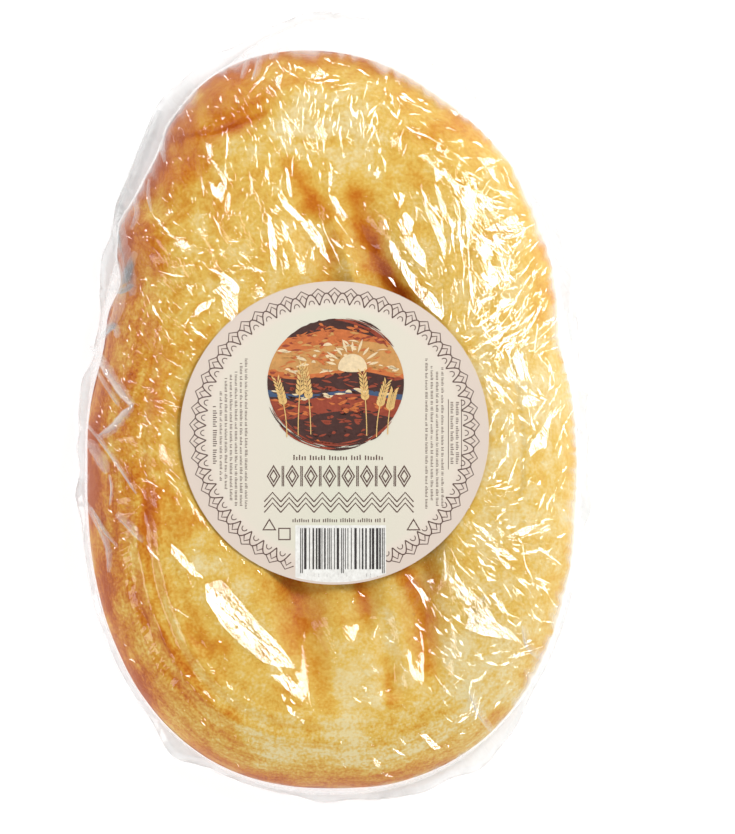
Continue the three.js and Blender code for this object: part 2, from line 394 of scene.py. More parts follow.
@dataclass(frozen=True)
class PackForm:
    """The outlines and heights of the loaf and of the film over it."""

    loaf: Egg = Egg(-0.4, -21.6, 88.4, 150.6, 116.0, 2.19, 2.34, lean=-9.0, waist=3.4,
                    dents=((45.0, 4.6, 8.0), (67.0, -2.4, 6.0), (102.0, -1.8, 6.0)))
    hem: Egg = Egg(0.0, -24.3, 93.3, 168.2, 119.2, 1.96, 2.2)
    lobes: tuple[Lobe, ...] = (
        Lobe(40, 4.2, 9),
        Lobe(76, -4.0, 8),
        Lobe(117, 4.4, 8),
        Lobe(156, -3.4, 7),
        Lobe(221, -4.0, 18),
        Lobe(243, 4.0, 7),
        Lobe(256, -3.6, 6),
        Lobe(294, 4.2, 9),
        Lobe(321, -4.0, 14),
    )
    pleats: tuple[Pleats, ...] = (Pleats(17, 0.55, 11), Pleats(29, 0.5, 200), Pleats(43, 0.35, 90))

    crown_height: float = 39.0
    end_drop: float = 3.0
    half_length: float = 132.0
    roll_radius: float = 27.0
    wall_roundness: float = 1.8
    flange_width: float = 3.2
    flange_height: float = 1.9
    swell_height: float = 0.7

    middle_x: float = 9.0
    middle_y: float = -13.0
    middle_half_width: float = 37.0
    middle_half_length: float = 101.0
    middle_power: float = 2.6
    middle_depth: float = 4.6
    furrows: tuple[Furrow, ...] = (
        Furrow(((-14, 86), (-7, 62), (-1, 45), (-2, 5), (-11, -45), (-12, -66), (-8, -94), (-2, -110)),
               5.5, 7.5),
        Furrow(((4, 84), (10, 62), (18, 43), (27, 10), (30, -30), (31, -60), (34, -88), (38, -106)),
               7.5, 7.0),
        Furrow(((8, -20), (9, -48), (11, -66), (12, -86)), 3.5, 5.5),
        Furrow(((17, -70), (20, -90), (21, -106)), 2.5, 5.0),
    )
    furrow_run_out: float = 0.22
    furrow_steps: int = 24
    film_dip: float = 0.85

    knuckles: tuple[Knuckle, ...] = (
        Knuckle(-60, 82, 9, 2.2),
        Knuckle(-67, 60, 8, 2.0),
        Knuckle(-42, 113, 9, 2.0),
        Knuckle(-53, 102, 8, 1.6),
    )
    long_crease: Crease = Crease(((-52, 94), (-22, 105)), 2.0, 3.2, 0.4)
    wrinkle_spacing: float = 8.0
    wrinkle_height: float = 0.8
    wrinkle_from_edge: float = 20.0
    wrinkle_degrees: float = 231.0
    wrinkle_spread: float = 32.0

    label_centre: Point = (0.65, -9.1)
    label_radii: Point = (55.1, 54.2)
    label_sag: float = 3.2
    label_margin: float = 3.0
    label_blend: float = 12.0

    def bearing(self, x: Array, y: Array) -> Array:
        """Give the angle of a place about the label's centre."""
        return np.arctan2(y - self.label_centre[1], x - self.label_centre[0])

    def from_label(self, radii: Array, angles: Array) -> tuple[Array, Array]:
        """Give the places at distances from the label's centre, in each direction."""
        x = self.label_centre[0] + radii * np.cos(angles)
        return x, self.label_centre[1] + radii * np.sin(angles)

    def loaf_reach(self, angles: Array) -> Array:
        """Give the loaf's distance from the label's centre, in each direction."""
        return self.loaf.reach(self.label_centre, angles)

    def hem_reach(self, angles: Array) -> Array:
        """Give the hem's distance from the label's centre, in each direction."""
        reach = self.hem.reach(self.label_centre, angles)
        for lobe in self.lobes:
            reach = reach + lobe.at(angles)
        for pleat in self.pleats:
            reach = reach + pleat.reach * np.sin(pleat.count * angles + math.radians(pleat.degrees))
        return reach

    def furrow_share(self, furrow: Furrow, x: Array, y: Array) -> Array:
        """Give the share of a furrow's depth at plan positions."""
        distance, along = nearest_on(spline(furrow.path, self.furrow_steps), x, y)
        fade = smoothstep(along, 0, self.furrow_run_out) * smoothstep(1 - along, 0, self.furrow_run_out)
        return fade * bell(distance, furrow.half_width)

    def hollow(self, x: Array, y: Array) -> Array:
        """Give how far the middle and its furrows lie below the crown of the outer roll."""
        power = self.middle_power
        across = np.abs((x - self.middle_x) / self.middle_half_width) ** power
        up = np.abs((y - self.middle_y) / self.middle_half_length) ** power
        level = (across + up) ** (1 / power)
        depths = [furrow.depth * self.furrow_share(furrow, x, y) for furrow in self.furrows]
        return self.middle_depth * (1 - smoothstep(level, 0.45, 1.1)) + np.max(depths, axis=0)

    def knuckle_height(self, x: Array, y: Array) -> Array:
        """Give the height of the bulges on the outer roll."""
        heights = [k.height * bell(np.hypot(x - k.x, y - k.y), k.radius) for k in self.knuckles]
        return np.max(heights, axis=0)

    def relief(self, x: Array, y: Array) -> Array:
        """Give the height of bulges and wrinkles on the outer roll, less the long crease."""
        distance, along = nearest_on(np.array(self.long_crease.path, dtype=float), x, y)
        crease = self.long_crease.depth * np.sin(np.pi * along)
        crease = crease * bell(distance, self.long_crease.half_width)
        inset = self.loaf.inset(x, y)
        turn = turned_from(self.bearing(x, y), self.wrinkle_degrees)
        hold = bell(inset - self.wrinkle_from_edge, self.wrinkle_spacing)
        hold = hold * bell(turn, math.radians(self.wrinkle_spread))
        waves = self.wrinkle_height * hold * np.sin(2 * np.pi * inset / self.wrinkle_spacing)
        return self.knuckle_height(x, y) - crease + waves

    def crown(self, x: Array, y: Array) -> Array:
        """Give the height of the film at the crown of the outer roll, with its slow swells."""
        swell = np.sin(x / 19 + y / 31 + 0.8) + 0.6 * np.sin(y / 17 - x / 47 + 2.1)
        drop = self.end_drop * (y / self.half_length) ** 2
        return self.crown_height - drop + self.swell_height * swell

    def label_bed(self, x: Array) -> Array:
        """Give the height of the film under the label, a shallow valley along the loaf."""
        across = (x - self.label_centre[0]) / self.label_radii[0]
        return self.crown_height - self.label_sag * (1 - np.minimum(across**2, 1.6))

    def beyond_label(self, x: Array, y: Array) -> Array:
        """Give how far outside the label's edge a place lies, negative inside it."""
        across = (x - self.label_centre[0]) / self.label_radii[0]
        up = (y - self.label_centre[1]) / self.label_radii[1]
        return (np.hypot(across, up) - 1) * self.label_radii[0]

    def climb(self, x: Array, y: Array) -> Array:
        """Give 0 at the foot of the bag's wall and 1 at the crown of the roll."""
        from_foot = self.hem.inset(x, y) - self.flange_width
        to_crown = self.roll_radius - self.loaf.inset(x, y)
        span = np.maximum(from_foot + to_crown, 1e-6)
        return np.where(to_crown <= 0, 1.0, np.clip(from_foot / span, 0, 1))

    def bed_hold(self, x: Array, y: Array) -> Array:
        """Give 1 where the label keeps the film flat, fading to 0 beyond it."""
        beyond = self.beyond_label(x, y) - self.label_margin
        return (1 - smoothstep(beyond, 0, self.label_blend)) * smoothstep(self.climb(x, y), 0.75, 1)

    def film_height(self, x: Array, y: Array) -> Array:
        """Give the height of the smooth film over the loaf."""
        wall = 1 - (1 - self.climb(x, y)) ** self.wall_roundness
        wall = np.clip(wall, 0, 1) ** (1 / self.wall_roundness)
        top = self.crown(x, y) - self.film_dip * self.hollow(x, y)
        open_film = mix(self.flange_height, top, wall) + self.relief(x, y) * wall
        return mix(open_film, self.label_bed(x), self.bed_hold(x, y))


# ---------------------------------------------------------------- meshes


class Frame:
    """Turns the plan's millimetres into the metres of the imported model."""

    def __init__(self, form: PackForm) -> None:
        """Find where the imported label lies.

        Args:
            form: The pack's form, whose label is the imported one.
        """
        low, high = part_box("label")
        self.shift_x = (low.x + high.x) / 2 / MM - form.label_centre[0]
        self.shift_y = (low.y + high.y) / 2 / MM - form.label_centre[1]

    def place(self, points: Array) -> Array:
        """Turn points of the plan, with their heights, into metres."""
        return (points + np.array([self.shift_x, self.shift_y, 0.0])) * MM


def make_object(name: str, points: Array, faces: Sequence[Array], smooth: bool) -> Piece:
    """Make an object from points and arrays of faces.

    Args:
        name: The object's name.
        points: The points in metres, one row each.
        faces: Arrays of corner numbers, each with one row for a face.
        smooth: Whether the faces are shaded smooth.

    Returns:
        The object, linked to the scene.
    """
    mesh = bpy.data.meshes.new(name)
    sizes = np.concatenate([np.full(len(part), part.shape[1]) for part in faces])
    corners = np.concatenate([part.ravel() for part in faces])
    mesh.vertices.add(len(points))
    mesh.vertices.foreach_set("co", points.astype(np.float32).ravel())
    mesh.loops.add(len(corners))
    mesh.loops.foreach_set("vertex_index", corners.astype(np.int32))
    mesh.polygons.add(len(sizes))
    mesh.polygons.foreach_set("loop_start", np.concatenate([[0], np.cumsum(sizes)[:-1]]).astype(np.int32))
    mesh.polygons.foreach_set("use_smooth", np.full(len(sizes), smooth))
    mesh.update(calc_edges=True)
    mesh.validate()
    made = bpy.data.objects.new(name, mesh)
    bpy.context.scene.collection.objects.link(made)
    return made


def paint(piece: Piece, name: str, values: Array) -> None:
    """Store a value, or a row of three, for each point of a piece."""
    kind = "FLOAT" if values.ndim == 1 else "FLOAT_VECTOR"
    attribute = piece.data.attributes.new(name, kind, "POINT")
    field_name = "value" if values.ndim == 1 else "vector"
    attribute.data.foreach_set(field_name, values.astype(np.float32).ravel())


def ring_faces(ring_count: int, columns: int) -> tuple[Array, Array]:
    """Give the faces of a closed mesh of rings between two end points.

    Args:
        ring_count: How many rings there are.
        columns: How many points each ring has.

    Returns:
        The quads between the rings, and the triangles to the first and the last point.
    """
    column = np.arange(columns)
    following = (column + 1) % columns
    start = 1 + np.arange(ring_count - 1)[:, None] * columns
    quads = np.stack([start + column, start + columns + column,
                      start + columns + following, start + following], axis=-1)
    last = 1 + (ring_count - 1) * columns
    head = np.stack([np.zeros(columns, dtype=int), 1 + column, 1 + following], axis=-1)
    tail = np.stack([last + column, np.full(columns, last + columns), last + following], axis=-1)
    return quads.reshape(-1, 4), np.concatenate([head, tail])


def ring_points(top: Array, rings: Array, bottom: Array) -> Array:
    """Join an end point, rings of points and another end point into one list."""
    return np.concatenate([top[None], rings.reshape(-1, 3), bottom[None]])


def attach(piece: Piece, material: Material, slot: str, *nodes: str) -> None:
    """Dress a piece, let it ride on the pack, and hide the imported nodes that it replaces.

    Args:
        piece: The piece.
        material: Its finish.
        slot: Not used.
        nodes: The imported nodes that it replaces.
    """
    piece.data.materials.append(material)
    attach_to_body(piece, "root")
    if nodes:
        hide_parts(*nodes)
    piece.data.calc_loop_triangles()
    log.info("%s: %d triangles", piece.name, len(piece.data.loop_triangles))


# ---------------------------------------------------------------- finishes


class Board:
    """A node tree under construction."""

    def __init__(self, tree: bpy.types.NodeTree) -> None:
        """Start on a tree.

        Args:
            tree: The material's or the group's tree.
        """
        self.tree = tree

    def node(self, kind: str, **settings: object) -> bpy.types.Node:
        """Add a node and set its options.

        Args:
            kind: The node's type, without its ShaderNode prefix.
            settings: Options of the node, by name.

        Returns:
            The node.
        """
        made = self.tree.nodes.new(f"ShaderNode{kind}")
        for name, value in settings.items():
            setattr(made, name, value)
        return made

    def feed(self, socket: Socket, value: object) -> None:
        """Link an output to a socket, or set the socket's plain value."""
        if isinstance(value, Socket):
            self.tree.links.new(value, socket)
        else:
            socket.default_value = value

    def math(self, operation: str, *values: object) -> Socket:
        """Combine values with a Math node."""
        made = self.node("Math", operation=operation)
        for socket, value in zip(made.inputs, values):
            self.feed(socket, value)
        return made.outputs[0]

    def ranged(self, value: object, low: float, high: float, start: float, end: float) -> Socket:
        """Map low..high onto start..end, and hold the ends."""
        made = self.node("MapRange")
        for name, part in zip(("Value", "From Min", "From Max", "To Min", "To Max"),
                              (value, low, high, start, end)):
            self.feed(made.inputs[name], part)
        return made.outputs["Result"]

    def attribute(self, name: str, output: str = "Fac") -> Socket:
        """Read a value that the mesh stores."""
        return self.node("Attribute", attribute_name=name).outputs[output]

    def vector(self, operation: str, first: object, second: object) -> Socket:
        """Combine two vectors with a Vector Math node."""
        made = self.node("VectorMath", operation=operation)
        self.feed(made.inputs[0], first)
        self.feed(made.inputs[1], second)
        return made.outputs["Vector"]

    def scaled(self, vector: Socket, scale: tuple[float, float, float]) -> Socket:
        """Scale a vector along each axis."""
        return self.vector("MULTIPLY", vector, scale)

    def noise(self, vector: object, scale: float, detail: float = 2.0,
              roughness: float = 0.5) -> Socket:
        """Add a noise and give its value from 0 to 1."""
        made = self.node("TexNoise")
        self.feed(made.inputs["Vector"], vector)
        for name, value in (("Scale", scale), ("Detail", detail), ("Roughness", roughness)):
            made.inputs[name].default_value = value
        return made.outputs["Fac"]

    def ramp(self, value: Socket, colours: Sequence[Colour]) -> Socket:
        """Run a value from 0 to 1 through evenly spaced colours."""
        made = self.node("ValToRGB")
        self.feed(made.inputs["Fac"], value)
        stops = made.color_ramp.elements
        while len(stops) < len(colours):
            stops.new(0.5)
        for index, colour in enumerate(colours):
            stops[index].position = index / (len(colours) - 1)
            stops[index].color = (*colour, 1.0)
        return made.outputs["Color"]

    def bump(self, height: Socket, distance: float) -> Socket:
        """Turn heights from 0 to 1 into a normal, with the full height in metres."""
        made = self.node("Bump")
        made.inputs["Strength"].default_value = 1.0
        made.inputs["Distance"].default_value = distance
        self.feed(made.inputs["Height"], height)
        return made.outputs["Normal"]


def new_material(name: str) -> tuple[Material, Board, bpy.types.Node]:
    """Start a material with one Principled shader.

    Args:
        name: The material's name.

    Returns:
        The material, its board and its Principled node.
    """
    material = bpy.data.materials.new(name)
    material.use_nodes = True
    return material, Board(material.node_tree), material.node_tree.nodes["Principled BSDF"]


class Grain:
    """The shader group of a fine grain, shared by crust, paper and ink."""

    def __init__(self) -> None:
        """Build the group once."""
        self.group = bpy.data.node_groups.new("fine_grain", "ShaderNodeTree")
        face = self.group.interface
        face.new_socket("Scale", in_out="INPUT", socket_type="NodeSocketFloat")
        face.new_socket("Spread", in_out="INPUT", socket_type="NodeSocketFloat")
        face.new_socket("Mask", in_out="OUTPUT", socket_type="NodeSocketFloat")
        board = Board(self.group)
        entry = self.group.nodes.new("NodeGroupInput")
        leave = self.group.nodes.new("NodeGroupOutput")
        coordinates = board.node("TexCoord").outputs["Object"]
        fine = board.node("TexNoise")
        fine.inputs["Detail"].default_value = 3.0
        fine.inputs["Roughness"].default_value = 0.6
        board.feed(fine.inputs["Vector"], coordinates)
        board.feed(fine.inputs["Scale"], entry.outputs["Scale"])
        centred = board.math("SUBTRACT", fine.outputs["Fac"], 0.5)
        spread = board.math("MULTIPLY", centred, entry.outputs["Spread"])
        board.feed(leave.inputs["Mask"], board.math("ADD", spread, 0.5))

    def on(self, board: Board, per_metre: float, spread: float) -> Socket:
        """Place the group in a material.

        Args:
            board: The material's board.
            per_metre: How many grains there are in a metre.
            spread: How far the mask swings about 0.5.

        Returns:
            The mask.
        """
        made = board.node("Group")
        made.node_tree = self.group
        made.inputs["Scale"].default_value = per_metre
        made.inputs["Spread"].default_value = spread
        return made.outputs["Mask"]


@dataclass(frozen=True)
class CrustFinish:
    """Egg-washed crust: pale gold where it is thick, brown at the edges, brown with painted shade in the
    furrows.
    """

    tones: tuple[Colour, ...] = (
        linear(236, 217, 162),
        linear(230, 191, 92),
        linear(219, 155, 52),
        linear(206, 117, 26),
        linear(182, 84, 14),
    )
    roughness_low: float = 0.42
    roughness_high: float = 0.6
    grain_per_metre: float = 900.0
    grain_share: tuple[float, float] = (0.45, 1.15)
    blotches_per_metre: float = 150.0
    blotch_share: float = 0.6
    pore_depth: float = 0.00018
    streak_run: tuple[float, float, float] = (0.05, 0.05, 0.42)
    shine: float = 0.12

    def make(self, grain: Grain) -> Material:
        """Build the material.

        Args:
            grain: The shared grain.

        Returns:
            The material.
        """
        material, board, shader = new_material("crust")
        # the crust's tone: its browning, with painted shade in the furrows and creases
        bake = board.attribute("bake")
        way = board.attribute("crust_way", "Vector")
        streaks = board.noise(board.scaled(way, self.streak_run), 1.0, 3.0, 0.6)
        blotches = board.noise(board.node("TexCoord").outputs["Object"], self.blotches_per_metre, 3.0, 0.6)
        fine = grain.on(board, self.grain_per_metre, 1.0)
        rubbed = board.attribute("streak")
        tone = bake
        for mask, share in ((streaks, rubbed), (blotches, self.blotch_share),
                            (fine, board.ranged(rubbed, 0, 1, *self.grain_share))):
            swing = board.math("MULTIPLY", board.math("SUBTRACT", mask, 0.5), share)
            tone = board.math("ADD", tone, swing)
        board.feed(shader.inputs["Base Color"], board.ramp(tone, self.tones))
        board.feed(shader.inputs["Roughness"],
                   board.ranged(streaks, 0.35, 0.65, self.roughness_low, self.roughness_high))
        board.feed(shader.inputs["Normal"], board.bump(fine, self.pore_depth))
        shader.inputs["Specular IOR Level"].default_value = self.shine
        return material


@dataclass(frozen=True)
class FilmFinish:
    """Thin clear film: a mirror that lets most light through, milky where it lies doubled, with a painted
    sheen where its walls are seen edge-on.
    """

    head_on: float = 0.032
    edge_on: float = 0.2
    grazing_power: float = 4.0
    turn: tuple[float, float] = (0.3, 0.8)
    roughness: float = 0.045
    facet_length: float = 9.0
    facet_width: float = 3.0
    facet_rise: tuple[float, float, float] = (0.7, 0.75, 0.0)
    crinkle_length: float = 3.2
    crinkle_width: float = 0.8
    crinkle_rise: float = 0.07
    colour: Colour = (0.96, 0.97, 0.97)
    most_cover: float = 0.95
    milky_metal: float = 0.06
    milk_for_that: float = 0.2

    def facets(self, board: Board, way: Socket) -> Socket:
        """Give the height of flat facets with random tilts.

        Args:
            board: The material's board.
            way: Millimetres along and across the film's folds.

        Returns:
            The height in millimetres, about 0 in the middle of each facet.
        """
        place = board.scaled(way, (1 / self.facet_length, 1 / self.facet_width, 0.0))
        cells = board.node("TexVoronoi", feature="F1", voronoi_dimensions="2D")
        board.feed(cells.inputs["Vector"], place)
        cells.inputs["Scale"].default_value = 1.0
        offset = board.vector("SUBTRACT", place, cells.outputs["Position"])
        tilt = board.vector("SUBTRACT", cells.outputs["Color"], (0.5, 0.5, 0.5))
        tilt = board.vector("MULTIPLY", tilt, self.facet_rise)
        height = board.node("VectorMath", operation="DOT_PRODUCT")
        board.feed(height.inputs[0], offset)
        board.feed(height.inputs[1], tilt)
        return height.outputs["Value"]

    def make(self) -> Material:
        """Build the material and return it."""
        material, board, shader = new_material("film")
        way = board.attribute("film_way", "Vector")
        fine = board.node("TexNoise", noise_dimensions="2D")
        board.feed(fine.inputs["Vector"],
                   board.scaled(way, (1 / self.crinkle_length, 1 / self.crinkle_width, 0.0)))
        fine.inputs["Scale"].default_value = 1.0
        fine.inputs["Detail"].default_value = 1.5
        crinkle = board.math("MULTIPLY", board.math("SUBTRACT", fine.outputs["Fac"], 0.5),
                             2 * self.crinkle_rise)
        height = board.math("MULTIPLY", board.math("ADD", self.facets(board, way), crinkle),
                            board.attribute("crinkle"))
        normal = board.bump(height, MM)

        # white where the film lies doubled, and a painted sheen on its steep walls
        milk_and_sheen = board.attribute("milk_and_sheen")
        facing = board.node("LayerWeight")
        board.feed(facing.inputs["Normal"], normal)
        grazing = board.math("POWER", facing.outputs["Facing"], self.grazing_power)
        turned = board.ranged(facing.outputs["Facing"], *self.turn, 0, 1)
        # upright walls show their milk only when seen edge-on: a painted sheen in place of their grazing
        # reflection
        upright = board.math("MULTIPLY", board.attribute("upright"), board.math("SUBTRACT", 1.0, turned))
        seen = board.math("MULTIPLY", milk_and_sheen, board.math("SUBTRACT", 1.0, upright))
        cover = board.math("ADD", board.ranged(grazing, 0, 1, self.head_on, self.edge_on), seen)
        cover = board.math("MINIMUM", cover, self.most_cover)
        shader.inputs["Base Color"].default_value = (*self.colour, 1.0)
        shader.inputs["Roughness"].default_value = self.roughness
        board.feed(shader.inputs["Metallic"],
                   board.ranged(milk_and_sheen, 0.0, self.milk_for_that, 1.0, self.milky_metal))
        board.feed(shader.inputs["Normal"], normal)
        clear = board.node("BsdfTransparent")
        blend = board.node("MixShader")
        board.feed(blend.inputs[0], cover)
        board.feed(blend.inputs[1], clear.outputs[0])
        board.feed(blend.inputs[2], shader.outputs[0])
        board.feed(material.node_tree.nodes["Material Output"].inputs["Surface"], blend.outputs[0])
        return material


@dataclass(frozen=True)
class PaperFinish:
    """Satin label paper, cream in the middle and pinker towards the rim."""

    middle: Colour = linear(226, 224, 205)
    field: Colour = linear(233, 222, 207)
    rim: Colour = linear(225, 209, 196)
    roughness: float = 0.42
    fibres_per_metre: float = 2600.0
    fibre_spread: float = 0.12
    fibre_depth: float = 0.00006

    def make(self, grain: Grain) -> Material:
        """Build the material.

        Args:
            grain: The shared grain.

        Returns:
            The material.
        """
        material, board, shader = new_material("label_paper")
        fibre = grain.on(board, self.fibres_per_metre, self.fibre_spread)
        out = board.math("ADD", board.attribute("outward"), board.math("SUBTRACT", fibre, 0.5))
        board.feed(shader.inputs["Base Color"], board.ramp(out, (self.middle, self.field, self.rim)))
        shader.inputs["Roughness"].default_value = self.roughness
        board.feed(shader.inputs["Normal"], board.bump(fibre, self.fibre_depth))
        return material


class Ink(Enum):
    """The inks of the label, by their screen colours."""

    LINE = (92, 66, 58)
    BAR = (52, 46, 46)
    BLANK = (240, 238, 232)
    UMBER = (70, 38, 32)
    RUST = (152, 64, 40)
    ORANGE = (205, 112, 56)
    OCHRE = (206, 150, 84)
    CREAM = (236, 212, 170)
    WHEAT = (228, 188, 118)
    BLUE = (62, 84, 116)


@dataclass(frozen=True)
class InkFinish:
    """Printed ink with a slightly uneven coat."""

    ink: Ink
    unevenness: float = 0.18
    roughness: float = 0.5
    lift: float = 0.01
    coats_per_metre: float = 700.0
    coat_spread: float = 1.6
    coat_depth: float = 0.00002

    def make(self, grain: Grain) -> Material:
        """Build the material.

        Args:
            grain: The shared grain.

        Returns:
            The material.
        """
        material, board, shader = new_material(f"ink_{self.ink.name.lower()}")
        colour = linear(*self.ink.value)
        light = tuple(min(1.0, part * (1 + self.unevenness) + self.lift) for part in colour)
        dark = tuple(part * (1 - self.unevenness) for part in colour)
        coat = grain.on(board, self.coats_per_metre, self.coat_spread)
        board.feed(shader.inputs["Base Color"], board.ramp(coat, (dark, colour, light)))
        shader.inputs["Roughness"].default_value = self.roughness
        board.feed(shader.inputs["Normal"], board.bump(coat, self.coat_depth))
        return material


# ---------------------------------------------------------------- the loaf


@dataclass(frozen=True)
class StainAndShade:
    """A browner stroke of the crust, where a finger or a crease thinned the dough; in a furrow it also paints
    the shade that falls there.
    """

    path: tuple[Point, ...]
    half_width: float
    bake: float


@dataclass
class Loaf:
    """The loaf inside the bag."""

    form: PackForm
    frame: Frame
    below_film: float = 0.6
    belly_height: float = 12.0
    base_height: float = 0.7
    base_inset: float = 9.0
    columns: int = 480
    outline_steps: int = 2880
    inner_radii: tuple[float, ...] = (15.0, 30.0)
    hidden_radius: float = 46.0
    top_rings: int = 70
    roll_rings: int = 44
    under_rings: int = 14
    creases: tuple[Crease, ...] = (
        Crease(((-72.4, -66.4), (-63.4, -80.5), (-57.6, -88.7), (-53.3, -96.7)), 0.6, 1.8, 0.16),
        Crease(((-62.3, -79.0), (-54.4, -91.3), (-46.1, -101.0)), 0.5, 1.7, 0.14),
        Crease(((-55.1, -78.7), (-46.1, -84.8), (-42.1, -86.2)), 0.5, 1.6, 0.18),
        Crease(((-51.1, -105.7), (-37.8, -119.0), (-27.0, -124.7)), 0.5, 1.8, 0.14),
        Crease(((-65.2, -32.2), (-67.7, -46.3)), 0.5, 1.6, 0.18),
        Crease(((-51.5, 96.3), (-36.5, 99.6), (-22.7, 105.3)), 0.8, 1.5, 0.22),
        Crease(((-17.3, 95.9), (-4.0, 94.5), (9.0, 95.9)), 0.4, 1.6, 0.14),
    )
    patches: tuple[Patch, ...] = (
        Patch(-70, 62, 14, 13, 0.34),
        Patch(-60, 90, 13, 14, 0.40),
        Patch(-54, 103, 18, 10, 0.22),
        Patch(-76, 30, 9, 20, 0.16),
        Patch(-68, 6, 20, 28, 0.20),
        Patch(-62, 26, 12, 18, 0.16),
        Patch(-63, -24, 15, 20, 0.20),
        Patch(-84, -30, 12, 44, 0.26),
        Patch(-76, -66, 13, 30, 0.20),
        Patch(-62, -98, 18, 16, 0.14),
        Patch(-14, 129, 36, 7, 0.20),
        Patch(-36, 113, 20, 13, 0.26),
        Patch(22, 120, 28, 9, 0.08),
        Patch(-10, -135, 44, 6, 0.32),
        Patch(-38, -123, 24, 8, 0.22),
        Patch(76, 57, 5, 6, 0.22),
        Patch(80, 42, 5, 6, 0.22),
        Patch(74, 34, 4, 6, 0.18),
        Patch(86, -15, 4, 9, 0.20),
        Patch(74, -26, 7, 10, 0.12),
        Patch(58, -111, 6, 5, 0.22),
        Patch(47, 101, 12, 8, 0.20),
        Patch(-34, 81, 12, 16, 0.14),
        Patch(-2, 98, 32, 18, -0.14),
        Patch(52, 70, 24, 32, -0.02),
        Patch(66, -10, 22, 40, -0.14),
        Patch(56, -84, 22, 24, -0.10),
        Patch(6, 58, 5, 16, 0.05),
        Patch(22, -78, 5, 16, -0.08),
        Patch(6, -102, 12, 16, -0.14),
        Patch(40, -100, 16, 16, -0.16),
        Patch(38, -117, 16, 8, 0.06),
        Patch(-6, -124, 30, 8, -0.17),
        Patch(30, 96, 12, 18, 0.12),
        Patch(-20, -70, 6, 16, -0.04),
        Patch(-12, -84, 6, 9, 0.09),
        Patch(-57, 87, 10, 9, 0.10),
        Patch(24, 84, 9, 11, 0.07),
    )
    # the first twelve strokes lie in the furrows: browning together with painted shade where the furrows fall
    # into shadow
    stains_and_shade: tuple[StainAndShade, ...] = (
        StainAndShade(((-14, 86), (-10, 79), (-8, 73)), 4.2, 0.30),
        StainAndShade(((-8, 75), (-3, 69), (0, 62), (-1, 54), (-1, 46)), 3.4, 0.20),
        StainAndShade(((9, 76), (11, 66), (15, 56), (18, 49), (24, 42)), 4.4, 0.46),
        StainAndShade(((12, 64), (16, 55), (20, 46)), 2.2, 0.22),
        StainAndShade(((24, 42), (31, 35)), 3.0, 0.35),
        StainAndShade(((-13.5, -60), (-12.5, -68), (-11, -76)), 7.2, 0.44),
        StainAndShade(((-5, -92), (-3, -99), (-1, -106)), 4.2, 0.24),
        StainAndShade(((10, -62), (11, -69), (12, -72)), 3.0, 0.34),
        StainAndShade(((10, -70), (12, -77)), 3.0, 0.22),
        StainAndShade(((20, -90), (20.5, -97), (21, -105)), 2.2, 0.28),
        StainAndShade(((26, -60), (30, -69), (33, -77), (33, -86), (34, -94)), 4.4, 0.44),
        StainAndShade(((35, -56), (37, -64)), 2.8, 0.30),
        StainAndShade(((-65, -30), (-66, -46), (-64, -62)), 2.6, 0.18),
        StainAndShade(((-70, -68), (-64, -78), (-58, -87), (-52, -94)), 2.8, 0.18),
        StainAndShade(((-60, -62), (-52, -70), (-45, -82), (-38, -86)), 2.6, 0.16),
        StainAndShade(((-56, -97), (-48, -103), (-38, -109)), 2.2, 0.22),
        StainAndShade(((-60, 97), (-48, 98), (-36, 101), (-25, 105)), 1.5, 0.22),
        StainAndShade(((-30, 108), (-20, 115), (-8, 117), (2, 116)), 2.2, 0.18),
    )
    base_bake: float = 0.24
    edge_bake: float = 0.32
    edge_width: float = 10.0
    knuckle_bake: float = 0.05
    foot_bake: float = 0.25
    foot_height: float = 10.0
    wobble: SlowNoise = SlowNoise(9.0, 11)
    wobble_reach: float = 0.7
    wobble_radius: float = 60.0
    wobble_depth: float = 20.0
    lumps: tuple[SlowNoise, ...] = (SlowNoise(14.0, 3, 0.5), SlowNoise(6.0, 5, 0.25))
    edge_mottle: SlowNoise = SlowNoise(11.0, 27)
    streak_least: float = 0.16
    streak_most: float = 0.9
    streak_inset: Point = (6.0, 40.0)
    streak_side: Point = (-70.0, 30.0)
    smudge_x: SlowNoise = SlowNoise(5.0, 25, 1.1)
    smudge_y: SlowNoise = SlowNoise(5.0, 26, 1.6)
    mottles: tuple[SlowNoise, ...] = (
        SlowNoise(17.0, 21, 0.07),
        SlowNoise(8.0, 22, 0.11),
        SlowNoise(4.0, 23, 0.07),
        SlowNoise(2.0, 24, 0.04),
    )

    def inset(self, x: Array, y: Array) -> Array:
        """Give how far inside the loaf's uneven outline a place lies."""
        around = self.form.bearing(x, y)
        wobble = self.wobble.at(self.wobble_radius * np.cos(around), self.wobble_radius * np.sin(around))
        plain = self.form.loaf.inset(x, y)
        return plain + self.wobble_reach * wobble * bell(plain, self.wobble_depth)

    def crease_depth(self, x: Array, y: Array) -> tuple[Array, Array]:
        """Give the depth of the narrow creases, and how much darker they are painted, browning and shade
        together.
        """
        depth, bake = np.zeros_like(x), np.zeros_like(x)
        for crease in self.creases:
            distance, along = nearest_on(spline(crease.path, 12), x, y)
            share = bell(distance, crease.half_width) * np.clip(np.sin(np.pi * along), 0, 1) ** 0.5
            depth = np.maximum(depth, crease.depth * share)
            bake = np.maximum(bake, crease.bake * share)
        return depth, bake

    def crown(self, x: Array, y: Array) -> Array:
        """Give the height of the loaf away from its rounded edge."""
        lumps = sum(lump.at(x, y) for lump in self.lumps)
        height = self.form.crown(x, y) - self.below_film - self.form.hollow(x, y)
        height = height + self.form.relief(x, y) - self.crease_depth(x, y)[0] + lumps * 0.8 - 0.4
        held = np.minimum(height, self.form.film_height(x, y) - 0.5)
        return np.where(self.form.bed_hold(x, y) > 0, held, height)

